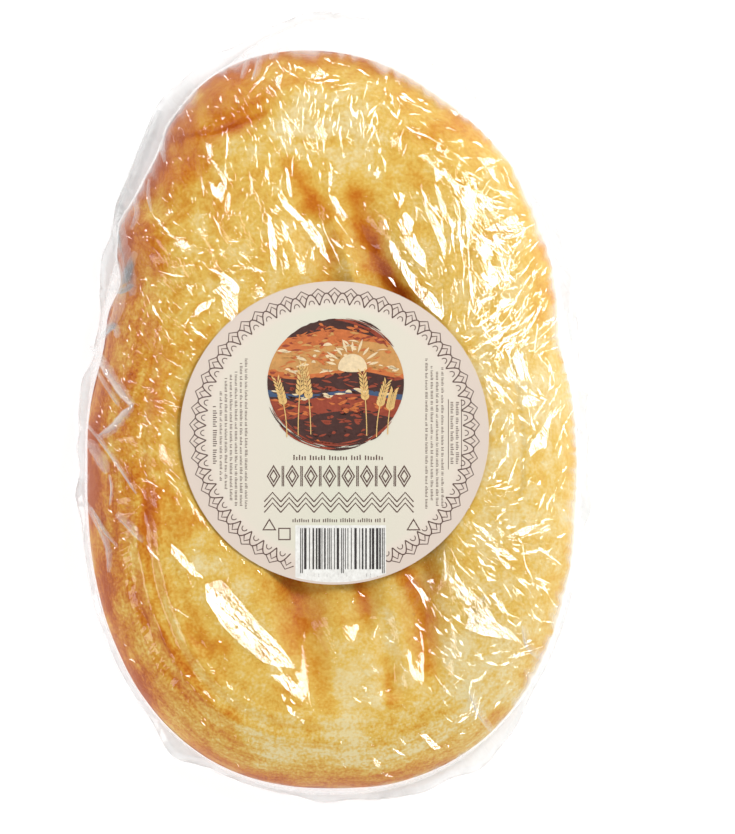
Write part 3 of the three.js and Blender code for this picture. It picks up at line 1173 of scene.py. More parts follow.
    def top(self, x: Array, y: Array, widen: float = 0.0) -> Array:
        """Give the height of the loaf's upper side, 0 outside its outline widened by some millimetres."""
        inset = self.inset(x, y) + widen
        share = np.clip(inset / self.form.roll_radius, 0, 1)
        arch = np.sqrt(np.clip(1 - (1 - share) ** 2, 0, 1))
        height = self.belly_height + (self.crown(x, y) - self.belly_height) * arch
        return np.where(self.form.loaf.inset(x, y) + widen > 0, height, 0.0)

    def bake(self, x: Array, y: Array, inset: Array, height: Array) -> Array:
        """Say how brown the crust is, with painted shade in its furrows and creases.

        Args:
            x: Plan positions.
            y: Plan positions.
            inset: How far in from the loaf's edge they lie.
            height: Their heights.

        Returns:
            The bake with its painted shade, from 0 for the palest crust to 1 for the brownest.
        """
        bake = np.full_like(x, self.base_bake)
        edge = self.edge_bake * (1 - smoothstep(inset, 0, self.edge_width)) * (0.6 - 0.6 * x / 90)
        bake = bake + edge * (1 + 0.8 * self.edge_mottle.at(x, y))
        for patch in self.patches:
            bake = bake + patch.at(x, y)
        smudge_x, smudge_y = x + self.smudge_x.at(x, y), y + self.smudge_y.at(x, y)
        # browner strokes, with painted shade along the furrows
        for stain_and_shade in self.stains_and_shade:
            distance, _ = nearest_on(spline(stain_and_shade.path, 10), smudge_x, smudge_y)
            bake = bake + stain_and_shade.bake * bell(distance, stain_and_shade.half_width)
        # darker creases: browning together with painted shade
        bake = bake + self.crease_depth(x, y)[1]
        bake = bake + self.knuckle_bake * self.form.knuckle_height(x, y)
        bake = bake + self.foot_bake * (1 - smoothstep(height, 0, self.foot_height))
        for mottle in self.mottles:
            bake = bake + mottle.at(x, y) * (1.5 - smoothstep(x, -70, -10))
        return bake

    def build(self) -> Piece:
        """Build the loaf's mesh, with its bake and the way its crust runs."""
        form = self.form
        stops, angles, length = even_stops(form.loaf_reach, self.outline_steps, self.columns)
        reach = form.loaf_reach(angles)
        slope = form.loaf.slope(*form.from_label(reach, angles))
        slant = np.hypot(*slope) / np.sum(slope * polar(1.0, angles).T, axis=0)

        roll = np.sin(np.linspace(np.pi / 2, 0, self.roll_rings + 1))[1:]
        crown_reach = reach - form.roll_radius * slant
        shares = np.linspace(0, 1, self.top_rings + 1)[:, None]
        radii = [np.full((1, self.columns), radius) for radius in self.inner_radii]
        radii.append(mix(np.minimum(self.hidden_radius, crown_reach - 1)[None], crown_reach[None], shares))
        radii.append(reach[None] - form.roll_radius * roll_curve(roll)[:, None] * slant[None])
        radii = np.concatenate(radii)
        x, y = form.from_label(radii, angles)
        z = np.maximum(self.top(x, y), self.belly_height)

        under = np.linspace(0, np.pi / 2, self.under_rings + 1)[1:, None]
        under_inset = self.base_inset * (1 - np.cos(under))
        under_radii = reach[None] - under_inset * slant[None]
        under_z = self.belly_height - (self.belly_height - self.base_height) * np.sin(under)
        under_x, under_y = form.from_label(under_radii, angles)
        x, y = np.concatenate([x, under_x]), np.concatenate([y, under_y])
        z = np.concatenate([z, np.broadcast_to(under_z, under_x.shape)])
        inset = np.maximum(self.inset(x, y), 0)
        inset[-self.under_rings:] = 0

        centre = np.array([*form.label_centre, 0.0])
        top_point = centre + [0, 0, float(self.top(np.array([centre[0]]), np.array([centre[1]]))[0])]
        bottom_point = centre + [0, 0, self.base_height]
        points = ring_points(top_point, np.stack([x, y, z], axis=-1), bottom_point)
        piece = make_object("loaf", self.frame.place(points), ring_faces(*x.shape), smooth=True)

        def over_points(values: Array) -> Array:
            """Spread values of the rings over all points, with the two end points."""
            return np.concatenate([[values[0, 0]], values.ravel(), [values[-1, 0]]])

        paint(piece, "bake", over_points(self.bake(x, y, inset, z)))
        near_edge = 1 - smoothstep(inset, *self.streak_inset)
        lower_left = 1 - smoothstep(x + 0.7 * y, *self.streak_side)
        paint(piece, "streak", over_points(self.streak_least + self.streak_most * near_edge * lower_left))
        turn, girth = 2 * np.pi * stops / length, length / (2 * np.pi)
        along = [np.broadcast_to(girth * part[None], x.shape) for part in (np.cos(turn), np.sin(turn))]
        depth = np.where(inset > 0, inset, z - self.belly_height)
        paint(piece, "crust_way", np.stack([over_points(part) for part in (*along, depth)], axis=1))
        return piece


def roll_curve(sine: Array) -> Array:
    """Give the inset of the roll's rings, as a share of its radius, from the sine of their angle."""
    return 1 - np.sqrt(1 - sine**2)


# ---------------------------------------------------------------- the studio


@dataclass(frozen=True)
class Lamp:
    """A square soft light that looks at the pack."""

    name: str
    degrees: float
    zenith: float
    distance: float
    size: float
    power: float

    def place(self) -> Array:
        """Give the light's place in metres."""
        way = heading(self.degrees) * math.sin(math.radians(self.zenith))
        return self.distance * np.array([*way, math.cos(math.radians(self.zenith))])

    def hang(self) -> None:
        """Add the light to the scene."""
        data = bpy.data.lights.new(self.name, "AREA")
        data.shape, data.size, data.energy = "SQUARE", self.size, self.power
        made = bpy.data.objects.new(self.name, data)
        made.location = tuple(self.place())
        made.rotation_euler = (0, math.radians(self.zenith), math.radians(self.degrees))
        made.visible_camera = False
        bpy.context.scene.collection.objects.link(made)


@dataclass
class Studio:
    """The floor, the lights and the camera."""

    frame: Frame
    camera_x: float = 12.42
    camera_y: float = -3.42
    camera_height: float = 2.105
    lens: float = 250.0
    sensor: float = 36.0
    key: Lamp = Lamp("key_light", 35.0, 36.0, 0.9, 0.26, 4.6)
    side: Lamp = Lamp("side_light", 205.0, 44.0, 1.0, 0.36, 1.8)
    world_light: float = 0.9
    cap_light: float = 0.06
    dark_cap: tuple[float, float] = (56.0, 36.0)
    floor_tone: float = 0.6
    floor_glow: float = 0.68

    def floor(self) -> None:
        """Lay a pale floor."""
        half = 3.0
        corners = np.array([[-half, -half, 0], [half, -half, 0], [half, half, 0], [-half, half, 0]])
        made = make_object("floor", corners, [np.array([[0, 1, 2, 3]])], smooth=False)
        material, _, shader = new_material("floor")
        shader.inputs["Base Color"].default_value = (self.floor_tone, self.floor_tone, self.floor_tone, 1)
        shader.inputs["Roughness"].default_value = 0.9
        shader.inputs["Emission Color"].default_value = (1, 1, 1, 1)
        shader.inputs["Emission Strength"].default_value = self.floor_glow
        made.data.materials.append(material)

    def eye(self) -> Array:
        """Give the camera's place in metres."""
        return np.array([(self.camera_x + self.frame.shift_x) * MM, (self.camera_y + self.frame.shift_y) * MM,
                         self.camera_height])

    def mirror_slope(self, point: Array) -> Array:
        """Give the slope that mirrors the key light straight up to where the pack is looked at from.

        Args:
            point: A plan point.

        Returns:
            The rise for each millimetre along x and y.
        """
        spot = self.frame.place(np.array([*point, 0.0]))
        to_light, to_eye = self.key.place() - spot, self.eye() - spot
        half = to_light / np.linalg.norm(to_light) + to_eye / np.linalg.norm(to_eye)
        return -half[:2] / half[2]

    def camera(self) -> None:
        """Hang the camera straight above the pack, with the narrow end up."""
        data = bpy.data.cameras.new("camera")
        data.lens, data.sensor_fit, data.sensor_height = self.lens, "VERTICAL", self.sensor
        made = bpy.data.objects.new("camera", data)
        made.location = tuple(self.eye())
        bpy.context.scene.collection.objects.link(made)
        bpy.context.scene.camera = made

    def build(self) -> None:
        """Set up the whole studio."""
        self.floor()
        for lamp in (self.key, self.side):
            lamp.hang()
        self.camera()
        world = bpy.data.worlds.new("studio")
        world.use_nodes = True
        board = Board(world.node_tree)
        split = board.node("SeparateXYZ")
        board.feed(split.inputs[0], board.node("TexCoord").outputs["Generated"])
        back = world.node_tree.nodes["Background"]
        back.inputs["Color"].default_value = (1, 1, 1, 1)
        low, high = (math.cos(math.radians(angle)) for angle in self.dark_cap)
        board.feed(back.inputs["Strength"],
                   board.ranged(split.outputs["Z"], low, high, self.world_light, self.cap_light))
        bpy.context.scene.world = world
        bpy.context.scene.view_settings.view_transform = "Standard"


# ---------------------------------------------------------------- the film


@dataclass
class Film:
    """The clear bag round the loaf."""

    form: PackForm
    frame: Frame
    loaf: Loaf
    columns: int = 760
    outline_steps: int = 3600
    inner_radii: tuple[float, ...] = (18.0, 36.0, 48.0)
    outer_start: float = 53.0
    outer_rings: int = 122
    crowding: float = 1.35
    clearance: float = 0.35
    hem_margin: float = 3.6
    run_degrees: float = -62.0
    slack: tuple[Lobe, ...] = (Lobe(122, 4.2, 16), Lobe(142, 2.0, 7), Lobe(36, 2.6, 10))
    # the veil paints the hem and the loaf's edge white: partly doubled film, partly a painted sheen of the
    # steep film, stronger on the right side, which faces the key light
    left_veil: float = 0.5
    right_veil: float = 0.84
    left_fade: float = 1.0
    right_fade: float = 3.9
    upper_fade: float = 3.4
    wall_clearness: float = 0.88
    right_side: Point = (-60.0, 70.0)
    foot_side: Point = (90.0, 125.0)
    upper_side: Point = (25.0, 75.0)
    least_fade: float = 0.2
    haze: float = 0.02
    hem_lift: float = 0.5
    hem_wave: float = 0.4
    hem_height: float = 0.45
    hem_ripple: float = 0.3
    least_crumple: float = 0.04
    crumpled: tuple[Patch, ...] = (
        Patch(58, 34, 24, 54, 1.0),
        Patch(54, -64, 20, 30, 0.7),
        Patch(-34, 60, 28, 36, 0.55),
        Patch(-4, 108, 46, 15, 0.75),
        Patch(-62, 8, 18, 44, 0.8),
    )
    long_waves: tuple[tuple[float, float, float], ...] = ((28, 7.0, 0.05), (50, 9.5, 0.05), (8, 12.0, 0.06))
    under_share: float = 0.965
    under_height: float = 0.1
    least_height: float = 0.4

    def base(self, x: Array, y: Array) -> Array:
        """Give the film's height before it is crumpled, clear of the loaf."""
        film = self.form.film_height(x, y)
        over_loaf = np.maximum(film, self.loaf.top(x, y, widen=0.9) + self.clearance)
        return np.where(self.form.bed_hold(x, y) > 0, film, over_loaf)

    def crumple(self, x: Array, y: Array) -> Array:
        """Give the shallow long waves that run through the whole film."""
        height = np.zeros_like(x)
        for index, (turn, spacing, slope) in enumerate(self.long_waves):
            way = heading(turn)
            warp = SlowNoise(26.0, 40 + index, 0.9).at(x, y)
            place = (x * way[0] + y * way[1]) / spacing + warp
            height = height + slope * spacing / 2 * np.abs(2 * (place - np.floor(place)) - 1)
        return height

    def free(self, x: Array, y: Array) -> Array:
        """Give 0 where the label holds the film, rising to 1 beyond it."""
        return smoothstep(self.form.beyond_label(x, y), 0.4, 3.0)

    def skin(self, x: Array, y: Array) -> Array:
        """Give the film's height with its long waves."""
        on_top = smoothstep(self.form.climb(x, y), 0.1, 0.4)
        return self.base(x, y) + self.free(x, y) * on_top * self.crumple(x, y)

    def wall_pleats(self, travelled: Array, x: Array, y: Array) -> Array:
        """Give the pleats that run down the bag's wall to the hem."""
        climb = self.form.climb(x, y)
        upright = smoothstep(climb, 0.0, 0.12) * (1 - smoothstep(climb, 0.35, 0.8))
        line = SlowNoise(3.4, 61).at(travelled, climb * 2) + SlowNoise(1.7, 62, 0.6).at(travelled, climb)
        return 1.3 * upright * np.abs(line)

    def liveliness(self, x: Array, y: Array) -> Array:
        """Say how crumpled the film is: most on the right, then on the left and at the top."""
        return np.minimum(1.0, sum((patch.at(x, y) for patch in self.crumpled), self.least_crumple))

    def milk_and_sheen(self, x: Array, y: Array) -> Array:
        """Say how milky the film is: white where it gathers beside the loaf, faint where it crumples; both
        are partly a painted sheen, strongest on the right side, which faces the key light.
        """
        inset, around = self.form.loaf.inset(x, y), self.form.bearing(x, y)
        streak = SlowNoise(2.6, 35).at(150 * np.cos(around), 150 * np.sin(around))
        streak = streak + SlowNoise(9.0, 36, 0.7).at(x, y)
        right = smoothstep(x, *self.right_side) * (1 - 0.8 * smoothstep(-y, *self.foot_side))
        upper_left = (1 - right) * smoothstep(y, *self.upper_side)
        gathered = mix(self.left_veil, self.right_veil, right) * (1 + 0.12 * streak)
        fade = mix(self.left_fade, self.right_fade, right) + self.upper_fade * upper_left
        fade = np.maximum(fade * (1 + 0.6 * streak), self.least_fade)
        hem = gathered * (1 - smoothstep(inset, -1.5, fade))
        haze = self.haze * self.liveliness(x, y) * (1 + SlowNoise(5.0, 38, 0.8).at(x, y))
        return np.maximum(hem, haze) * self.free(x, y)

    def crinkle(self, x: Array, y: Array) -> Array:
        """Say how strong the finish's fine creases are."""
        return self.free(x, y) * (0.3 + 1.3 * self.liveliness(x, y) + SlowNoise(20.0, 37, 0.15).at(x, y))

    def way(self, x: Array, y: Array) -> Array:
        """Give the millimetres along and across the film's creases, for its finish."""
        warp_along = SlowNoise(34.0, 51, 5.0).at(x, y) + SlowNoise(12.0, 52, 2.0).at(x, y)
        warp_across = SlowNoise(34.0, 53, 5.0).at(x, y) + SlowNoise(12.0, 54, 2.0).at(x, y)
        run = heading(self.run_degrees)
        return np.stack([x * run[0] + y * run[1] + warp_along, y * run[0] - x * run[1] + warp_across,
                         np.zeros_like(x)], axis=-1)

    def dress(self, piece: Piece, x: Array, y: Array, crinkle: Array, milk_and_sheen: Array) -> None:
        """Store what the finish reads, for each point of a piece."""
        paint(piece, "film_way", self.way(x, y))
        paint(piece, "milk_and_sheen", milk_and_sheen)
        paint(piece, "crinkle", crinkle)
        normals = np.empty(3 * len(x))
        piece.data.vertex_normals.foreach_get("vector", normals)
        # steep walls keep their painted sheen only where they are seen edge-on
        paint(piece, "upright", self.wall_clearness * (1 - smoothstep(np.abs(normals[2::3]), 0.35, 0.8)))

    def hem_reach(self, angles: Array) -> Array:
        """Give the hem's distance from the label's centre, with the film's slack, clear of the loaf."""
        reach = self.form.hem_reach(angles) + sum(lobe.at(angles) for lobe in self.slack)
        return np.maximum(reach, self.form.loaf_reach(angles) + self.hem_margin)

    def build(self) -> Piece:
        """Build the closed envelope of film, with its milky places, painted sheen among them, and its
        crinkled places.
        """
        form = self.form
        stops, angles, _ = even_stops(self.hem_reach, self.outline_steps, self.columns)
        reach = self.hem_reach(angles) + SlowNoise(2.6, 31, 0.35).at(stops, np.zeros_like(stops))

        shares = 1 - (1 - np.linspace(0, 1, self.outer_rings + 1)) ** self.crowding
        inner = [np.full((1, self.columns), radius) for radius in self.inner_radii]
        radii = np.concatenate([*inner, mix(self.outer_start, reach[None], shares[:, None])])
        x, y = form.from_label(radii, angles)
        along = np.broadcast_to(stops[None], x.shape)
        z = self.skin(x, y) + self.free(x, y) * self.wall_pleats(along, x, y)

        lift = self.hem_lift + self.hem_wave * np.sin(form.pleats[0].count * angles)
        ripple = SlowNoise(3.0, 33, 0.5).at(stops, np.zeros_like(stops))
        hem_z = lift + self.hem_height + self.hem_ripple * ripple
        beside = reach - form.loaf_reach(angles)
        flat = 1 - smoothstep((reach - radii) / np.minimum(form.flange_width, beside - 1.2), 0, 1)
        z = np.maximum(mix(z, hem_z[None], flat), self.least_height)

        under_x, under_y = form.from_label(self.under_share * reach, angles)
        under = np.stack([under_x, under_y, np.full(self.columns, self.under_height)], axis=-1)
        rings = np.concatenate([np.stack([x, y, z], axis=-1), under[None]])
        centre = np.array([*form.label_centre, 0.0])
        top_point = centre + [0, 0, float(form.film_height(centre[0:1], centre[1:2])[0])]
        points = ring_points(top_point, rings, centre + [0, 0, self.under_height])
        piece = make_object("film", self.frame.place(points), ring_faces(*rings.shape[:2]), smooth=True)
        px, py = points[:, 0], points[:, 1]
        beyond = np.hypot(px - centre[0], py - centre[1]) - self.hem_reach(form.bearing(px, py))
        rim = smoothstep(beyond, 0.3, -0.9)
        above = np.arange(len(points)) <= x.size
        self.dress(piece, px, py, self.crinkle(px, py) * above, self.milk_and_sheen(px, py) * rim * above)
        return piece


@dataclass(frozen=True)
class Ribbon:
    """A narrow strip where the film lies doubled and looks milky."""

    path: tuple[Point, ...]
    width: float
    milk_and_sheen: float


@dataclass
class Puckers:
    """The crisp creases of the bag: flat facets and doubled strips of film that lie on it."""

    film: Film
    studio: Studio
    outlines: tuple[tuple[Point, ...], ...] = (
        # upper right
        ((51.5, 89.5), (61.5, 89.2), (57, 87.4), (54.5, 86.4)),
        ((55, 86), (57.5, 85.6), (58.6, 82.5), (60.2, 80.2), (57, 82)),
        ((43, 80), (52, 76.6), (61, 73), (56, 73.1), (50, 75.6), (47.5, 73)),
        ((47.5, 73), (55, 73.2), (61.5, 71.5), (56, 70), (49.5, 71.3)),
        ((47.5, 71), (51, 70.5), (49.6, 64), (48.5, 58), (47.8, 63)),
        ((54, 63.5), (60.5, 67), (65.5, 69), (67, 66), (70, 64.5), (66, 62.6), (60, 62.8)),
        ((58, 62.3), (68, 62), (64, 60.4), (57, 60.2)),
        ((53.5, 60), (60, 59.8), (57.5, 56.5), (55, 53), (53, 54.5)),
        ((48.2, 60), (49.2, 50), (49.9, 40), (50.3, 36), (49.3, 40), (48.4, 50)),
        ((47.2, 42), (47.8, 36), (48.9, 31), (47.8, 35.8)),
        ((56, 50.5), (61, 50), (62.3, 48.5), (65, 45.5), (60, 45), (57, 42.5), (54, 43), (55, 47)),
        ((61.5, 53.5), (64, 56.6), (69.8, 62), (63.4, 57.2)),
        ((62, 50), (63.2, 53), (63, 48.5), (64, 46.5)),
        ((65, 46), (68.8, 49), (67, 46.4)),
        ((57, 32), (60, 38.5), (63.8, 39), (61.5, 35.5), (55, 28), (52.5, 24.5)),
        ((50.8, 36), (53.5, 38.6), (57.5, 41), (54, 36.8), (51, 34.5)),
        ((75.5, 51), (72.5, 48.5), (70.5, 43), (70, 39.5), (71.3, 44), (73, 48)),
        ((74.2, 40), (73.8, 36), (71, 30), (68.5, 25), (72.4, 31), (74.7, 36)),
        ((69, 40), (67.5, 35), (64, 30), (60.5, 26.5), (66, 31.4), (68.7, 36)),
        ((81.5, 33.5), (76, 31), (72.5, 26.5), (77.3, 30.5)),
        ((36.2, 80), (37.5, 79), (41, 70), (39.5, 68), (37.5, 73)),
        ((36, 85.5), (41, 85.3), (40, 83), (37, 80.5)),
        ((31.5, 79), (33, 76), (35.5, 70), (38, 66), (40.5, 59), (40, 52), (38.3, 58), (35, 66), (32.2, 72)),
        ((44.5, 72), (45.5, 64), (46.5, 52), (44.6, 63)),
        ((42.5, 68), (43.2, 61), (43.6, 54), (42.3, 61)),
        # above the label
        ((24, 75.5), (26, 76), (25.2, 73), (23.5, 71)),
        ((26, 70), (29, 66.5), (28, 62), (25, 61.5), (23, 66)),
        ((24, 61), (29, 61), (33, 55), (33.5, 49.5), (30, 52), (26, 57)),
        ((20, 60), (22, 58.5), (24, 54), (27, 50), (31, 44), (36, 40.5), (40, 33.5), (39, 31),
         (33, 36.5), (28, 42.5), (23.5, 50), (20.5, 55.5)),
        ((18, 67), (20, 66.5), (20, 63), (17.8, 64)),
        ((-11.5, 66), (-8, 67), (-4, 61), (-0.8, 51.5), (-4, 55), (-8, 61)),
        ((-19, 74.5), (-16, 73), (-11, 68), (-9.5, 66.5), (-13, 67), (-17.6, 71.5)),
        ((-17, 86), (-16, 85), (-14.3, 76), (-14.8, 74), (-16.3, 78)),
        ((-23, 69), (-22, 67), (-19.8, 58), (-20.3, 48), (-22, 52), (-23, 61)),
        ((-18.5, 67), (-17.5, 66), (-15.5, 61), (-11.5, 53), (-14, 56)),
        ((-18, 57), (-17, 56), (-15.3, 50), (-17, 49)),
        ((-1.5, 84), (0, 84.5), (-0.4, 80), (-1.4, 76)),
        ((-1.5, 76), (1, 75), (5.5, 68), (4, 66.5), (1, 70)),
        ((16, 86), (17, 84), (16, 81), (14.5, 83)),
        # upper left
        ((-45.5, 94.5), (-43.5, 94), (-42.5, 90), (-44.5, 88.5)),
        ((-43.5, 88.5), (-42, 87.5), (-39, 83), (-37.6, 80.5), (-40, 81.5)),
        ((-38.2, 87), (-37.7, 84), (-37.8, 78), (-40, 74), (-41.5, 78), (-39, 82)),
        ((-44, 81), (-41.5, 78), (-40.3, 74), (-43, 76)),
        ((-37.8, 98), (-37.2, 97), (-37.6, 90), (-38.3, 88)),
        ((-37.2, 77), (-36.2, 75), (-37, 69), (-37.8, 72)),
        ((-29.8, 84.5), (-28.6, 81), (-28.4, 77), (-29.2, 75), (-29.3, 80)),
        ((-65, 70), (-62.5, 67.3), (-58, 62.3), (-52, 57), (-58.4, 61.5), (-63, 66.2)),
        ((-57, 58.5), (-53, 60), (-50.5, 57.5), (-53, 56.5)),
        ((-44.5, 49.8), (-40, 48.5), (-35.5, 45.5), (-33, 42.5), (-34, 40.5), (-38.5, 38.6), (-43, 41.5),
         (-40, 43.5), (-40, 46.5)),
        ((-39.5, 38.4), (-34, 40), (-33.8, 34), (-36.5, 30.5), (-38.5, 33)),
        ((-47, 37), (-43, 38.5), (-44, 35.5), (-48, 33.5), (-49.5, 32), (-49, 35)),
        ((-27.6, 44.5), (-25, 42.5), (-24, 40), (-27.3, 39)),
        ((-34, 50.5), (-28, 50), (-24, 48.5), (-28, 48.6), (-32, 50)),
        ((-52.5, 44.5), (-50.8, 43.5), (-50.2, 41), (-51.8, 42)),
        ((-64.8, 37), (-63.5, 36), (-61.5, 31.5), (-64, 34)),
        ((-47.3, 83), (-46.7, 82), (-45.8, 75), (-46.7, 79)),
        ((-62, 48.6), (-56, 47.3), (-52, 46.8), (-56, 46.6)),
        ((-50, 27.5), (-47.5, 27), (-45, 24.5), (-48, 25.8)),
        # right of the label
        ((64.5, 19.5), (67, 19.8), (69.5, 16), (70, 12), (67.5, 9.5), (62.5, 9.8), (62, 13), (64, 16)),
        ((54, 10.5), (58, 9), (62, 5), (65, 0.5), (60, 6), (56, 8.4)),
        ((69.5, 4.5), (73, 3.5), (73, 0.5), (68, 0.2), (67.5, 2)),
        ((80.3, 0.3), (78.5, -3), (77.5, -8), (76.5, -13.5), (73.5, -15), (70.5, -17.5), (70.2, -15),
         (72.5, -10.5), (75, -7), (77, -3.5)),
        ((70.5, -2), (72.5, -8.5), (71, -6)),
        ((59, 0), (59.2, -1.5), (57, -4.5), (56.5, -3.5)),
        ((62.5, -2), (62.8, -3.5), (60.5, -7), (61.5, -5)),
        ((52, 21.6), (55, 22.5), (59, 24.5), (64, 29.5), (59.5, 26.5), (55, 23.6)),
        ((65.5, 21.5), (68, 24.5), (70.5, 28.5), (67.4, 24.6)),
        ((79.5, -15), (83, -7), (88, 2), (82.6, -6.8)),
        ((81, -30), (82, -29), (83.5, -25), (82.6, -27)),
        ((71, -5), (75, 0), (77, 4), (74, 0.4)),
        # lower right
        ((50.8, -41.5), (54, -43), (60, -50), (66, -54.5), (62.5, -54.5), (57, -48.5)),
        ((58, -52), (61, -54.5), (65.5, -58), (62, -57.5)),
        ((44, -44.5), (47, -48), (51, -49.5), (47.5, -50)),
        ((62, -46), (68, -43), (75, -41), (70, -45), (64, -46.8)),
        ((62, -47), (66, -48), (70, -49), (65.5, -47.3)),
        ((39.8, -50), (40.3, -55), (40.5, -60), (39.6, -55)),
        ((42, -50), (45.5, -56.5), (50, -61), (44.6, -56.4)),
        ((42, -64), (46, -63.5), (54, -68.5), (56.5, -71), (58, -77), (63, -79), (67.5, -84), (60, -82),
         (54, -81.5), (47.5, -79), (49, -72), (44, -66)),
        ((56.5, -66.5), (58.5, -68), (62.3, -73), (58, -69.5)),
        ((44, -87.5), (46.5, -87), (46, -89), (44.3, -89)),
        ((62.5, -89.5), (65.5, -87.6), (69.5, -87.5), (66, -89)),
        ((36.5, -95.5), (39.5, -99), (43.2, -103.3), (40, -101.5)),
        ((25.6, -59.5), (28, -60), (32, -65), (35, -69.8), (32.5, -68.5), (28.6, -63)),
        ((24, -91.5), (26.8, -94.5), (25.5, -94)),
        ((47.5, -90.5), (52, -92.2), (49, -92)),
        ((48.6, -103), (49.2, -98), (54, -97), (50, -97.2)),
        # lower left and foot
        ((-57.5, -48.5), (-54, -51.5), (-46, -61), (-50, -60), (-57.5, -52)),
        ((-67, -48.5), (-64.5, -51), (-61.3, -54.8), (-64.5, -53)),
        ((-45.5, -63), (-39.5, -61.5), (-33, -69), (-27, -76.5), (-20, -83.5), (-12.6, -93.5), (-19, -92.5),
         (-25, -91), (-33.5, -84), (-40, -77), (-45, -68.5)),
        ((-22, -95.5), (-16, -95.5), (-11.5, -101), (-14, -103)),
        ((-18.5, -102), (-16.5, -104), (-17.5, -105)),
        ((-16.8, -106), (-13, -108.5), (-12, -111), (-15.4, -109)),
        ((-12, -110), (-10, -112), (-10.8, -113.5)),
        ((-60, -70), (-55, -72.8), (-50, -75.8), (-55, -72.3)),
        ((30.5, -116.5), (33.5, -117), (38.8, -122), (36.5, -122.8)),
        ((23.8, -118), (27.2, -121.2), (25, -120)),
        ((14.5, -125.5), (17, -127), (16.5, -128.8), (14.8, -128)),
        ((17, -131), (19, -131.2), (22, -132.8), (19, -132.4)),
        # top
        ((42, 107), (48, 105.4), (51, 104), (44, 104.8)),
        ((-35, 112), (-33.6, 110.5), (-33.2, 106.5), (-34.8, 109)),
        ((-30, 112.5), (-26, 117.5), (-23, 122.5), (-25, 117.5)),
        ((-8, 118.5), (-5, 121.5), (-1.5, 119), (-4, 117)),
        ((-6, 123.5), (-4, 121), (-2, 119.5), (-4.6, 121.4)),
        ((-22, 117.5), (-18, 119.5), (-19, 113.5), (-20.5, 116)),
        ((-18.5, 104), (-17, 103), (-16.6, 98), (-17.6, 99)),
        ((2.2, 106), (2.6, 103), (1.4, 98.5), (1.8, 102.5)),
        ((-6.5, 110.5), (-5.8, 109.5), (-6, 107), (-6.6, 108)),
    )
    ribbons: tuple[Ribbon, ...] = (
        Ribbon(((-88, 22.5), (-82, 14), (-76, 5.5), (-71.3, 0.4)), 4.2, 0.55),
        Ribbon(((-71.3, 0.6), (-75, -2.5), (-79, -7), (-84, -10.5)), 4.0, 0.5),
        Ribbon(((-86, 14), (-80, 5.5), (-76.5, 0.5)), 2.0, 0.3),
        Ribbon(((-89, -6), (-83, -12.5), (-76, -22), (-70, -31)), 1.8, 0.4),
        Ribbon(((-88.5, -12), (-85, -17), (-81, -23.5)), 4.6, 0.3),
        Ribbon(((-80, -24), (-79.2, -29), (-79.8, -35)), 1.4, 0.45),
        Ribbon(((-90, -33), (-84.5, -42), (-81, -50), (-80.3, -59)), 2.8, 0.36),
        Ribbon(((-87, -36), (-82, -44), (-77, -50)), 1.6, 0.3),
        Ribbon(((-77.5, -38), (-72.5, -43), (-67.5, -48)), 3.4, 0.26),
        Ribbon(((-71, 56), (-75, 47.5), (-81, 43)), 3.4, 0.12),
        Ribbon(((-81, 43), (-76, 41.5), (-71.5, 44)), 2.4, 0.3),
        Ribbon(((-85, 24), (-79, 29), (-77.5, 25)), 3.0, 0.36),
        Ribbon(((-80, 66), (-78, 54), (-76.5, 44), (-78.5, 33), (-84, 25)), 4.6, 0.16),
        Ribbon(((-78, 74), (-77, 62), (-74, 50), (-72, 40)), 4.5, 0.14),
        Ribbon(((-63, 108), (-70, 92), (-75, 80), (-79, 68)), 5.0, 0.3),
        Ribbon(((-72, 76), (-70.5, 70), (-72.5, 64)), 2.4, 0.32),
        Ribbon(((-66.2, 82), (-66.4, 76), (-65, 70)), 1.6, 0.36),
        Ribbon(((-61.3, 98), (-61.6, 93), (-60.5, 88)), 2.0, 0.34),
        Ribbon(((48.8, -101), (52, -109), (58, -118)), 3.0, 0.3),
        Ribbon(((68, -78), (70, -86), (76, -91)), 3.0, 0.3),
        Ribbon(((-26.5, 127), (-27.5, 121), (-29, 117)), 2.6, 0.32),
        Ribbon(((-30.5, 128), (-31.5, 123), (-33, 118)), 2.2, 0.28),
        Ribbon(((-22.5, 125), (-20, 129.5), (-19.5, 133)), 2.2, 0.28),
    )
    rise: float = 0.75
    strip_range: tuple[float, float] = (0.9, 3.4)
    stray: float = 0.035
    foot: float = 0.1
    thickness: float = 0.05
    whiteness: float = 1.2
    small_count: int = 1500
    small_stray: float = 0.07
    small_x: Point = (-86.0, 88.0)
    small_y: Point = (-130.0, 128.0)
    small_length: Point = (1.2, 7.0)
    small_width: Point = (0.25, 1.0)
    long_share: float = 0.12

    def __post_init__(self) -> None:
        """Sample the film once, and start empty."""
        self.skin = HeightMap(self.film.skin, (96.0, 148.0))
        self.draw = np.random.default_rng(7)
        self.points: list[Array] = []
        self.milk_and_sheen: list[Array] = []
        self.crinkle: list[Array] = []
        self.faces: dict[int, list[Array]] = {}
        self.count = 0

    def add(self, points: Array, milk_and_sheen: Array, crinkle: float, *groups: Array) -> None:
        """Add a closed part.

        Args:
            points: Its points, one row each.
            milk_and_sheen: How milky it is at each point, painted sheen included.
            crinkle: How strong its fine creases are.
            groups: Arrays of corner numbers, each with one row for a face.
        """
        for face in groups:
            self.faces.setdefault(face.shape[1], []).append(face + self.count)
        self.points.append(points)
        self.milk_and_sheen.append(milk_and_sheen)
        self.crinkle.append(np.full(len(points), crinkle))
        self.count += len(points)

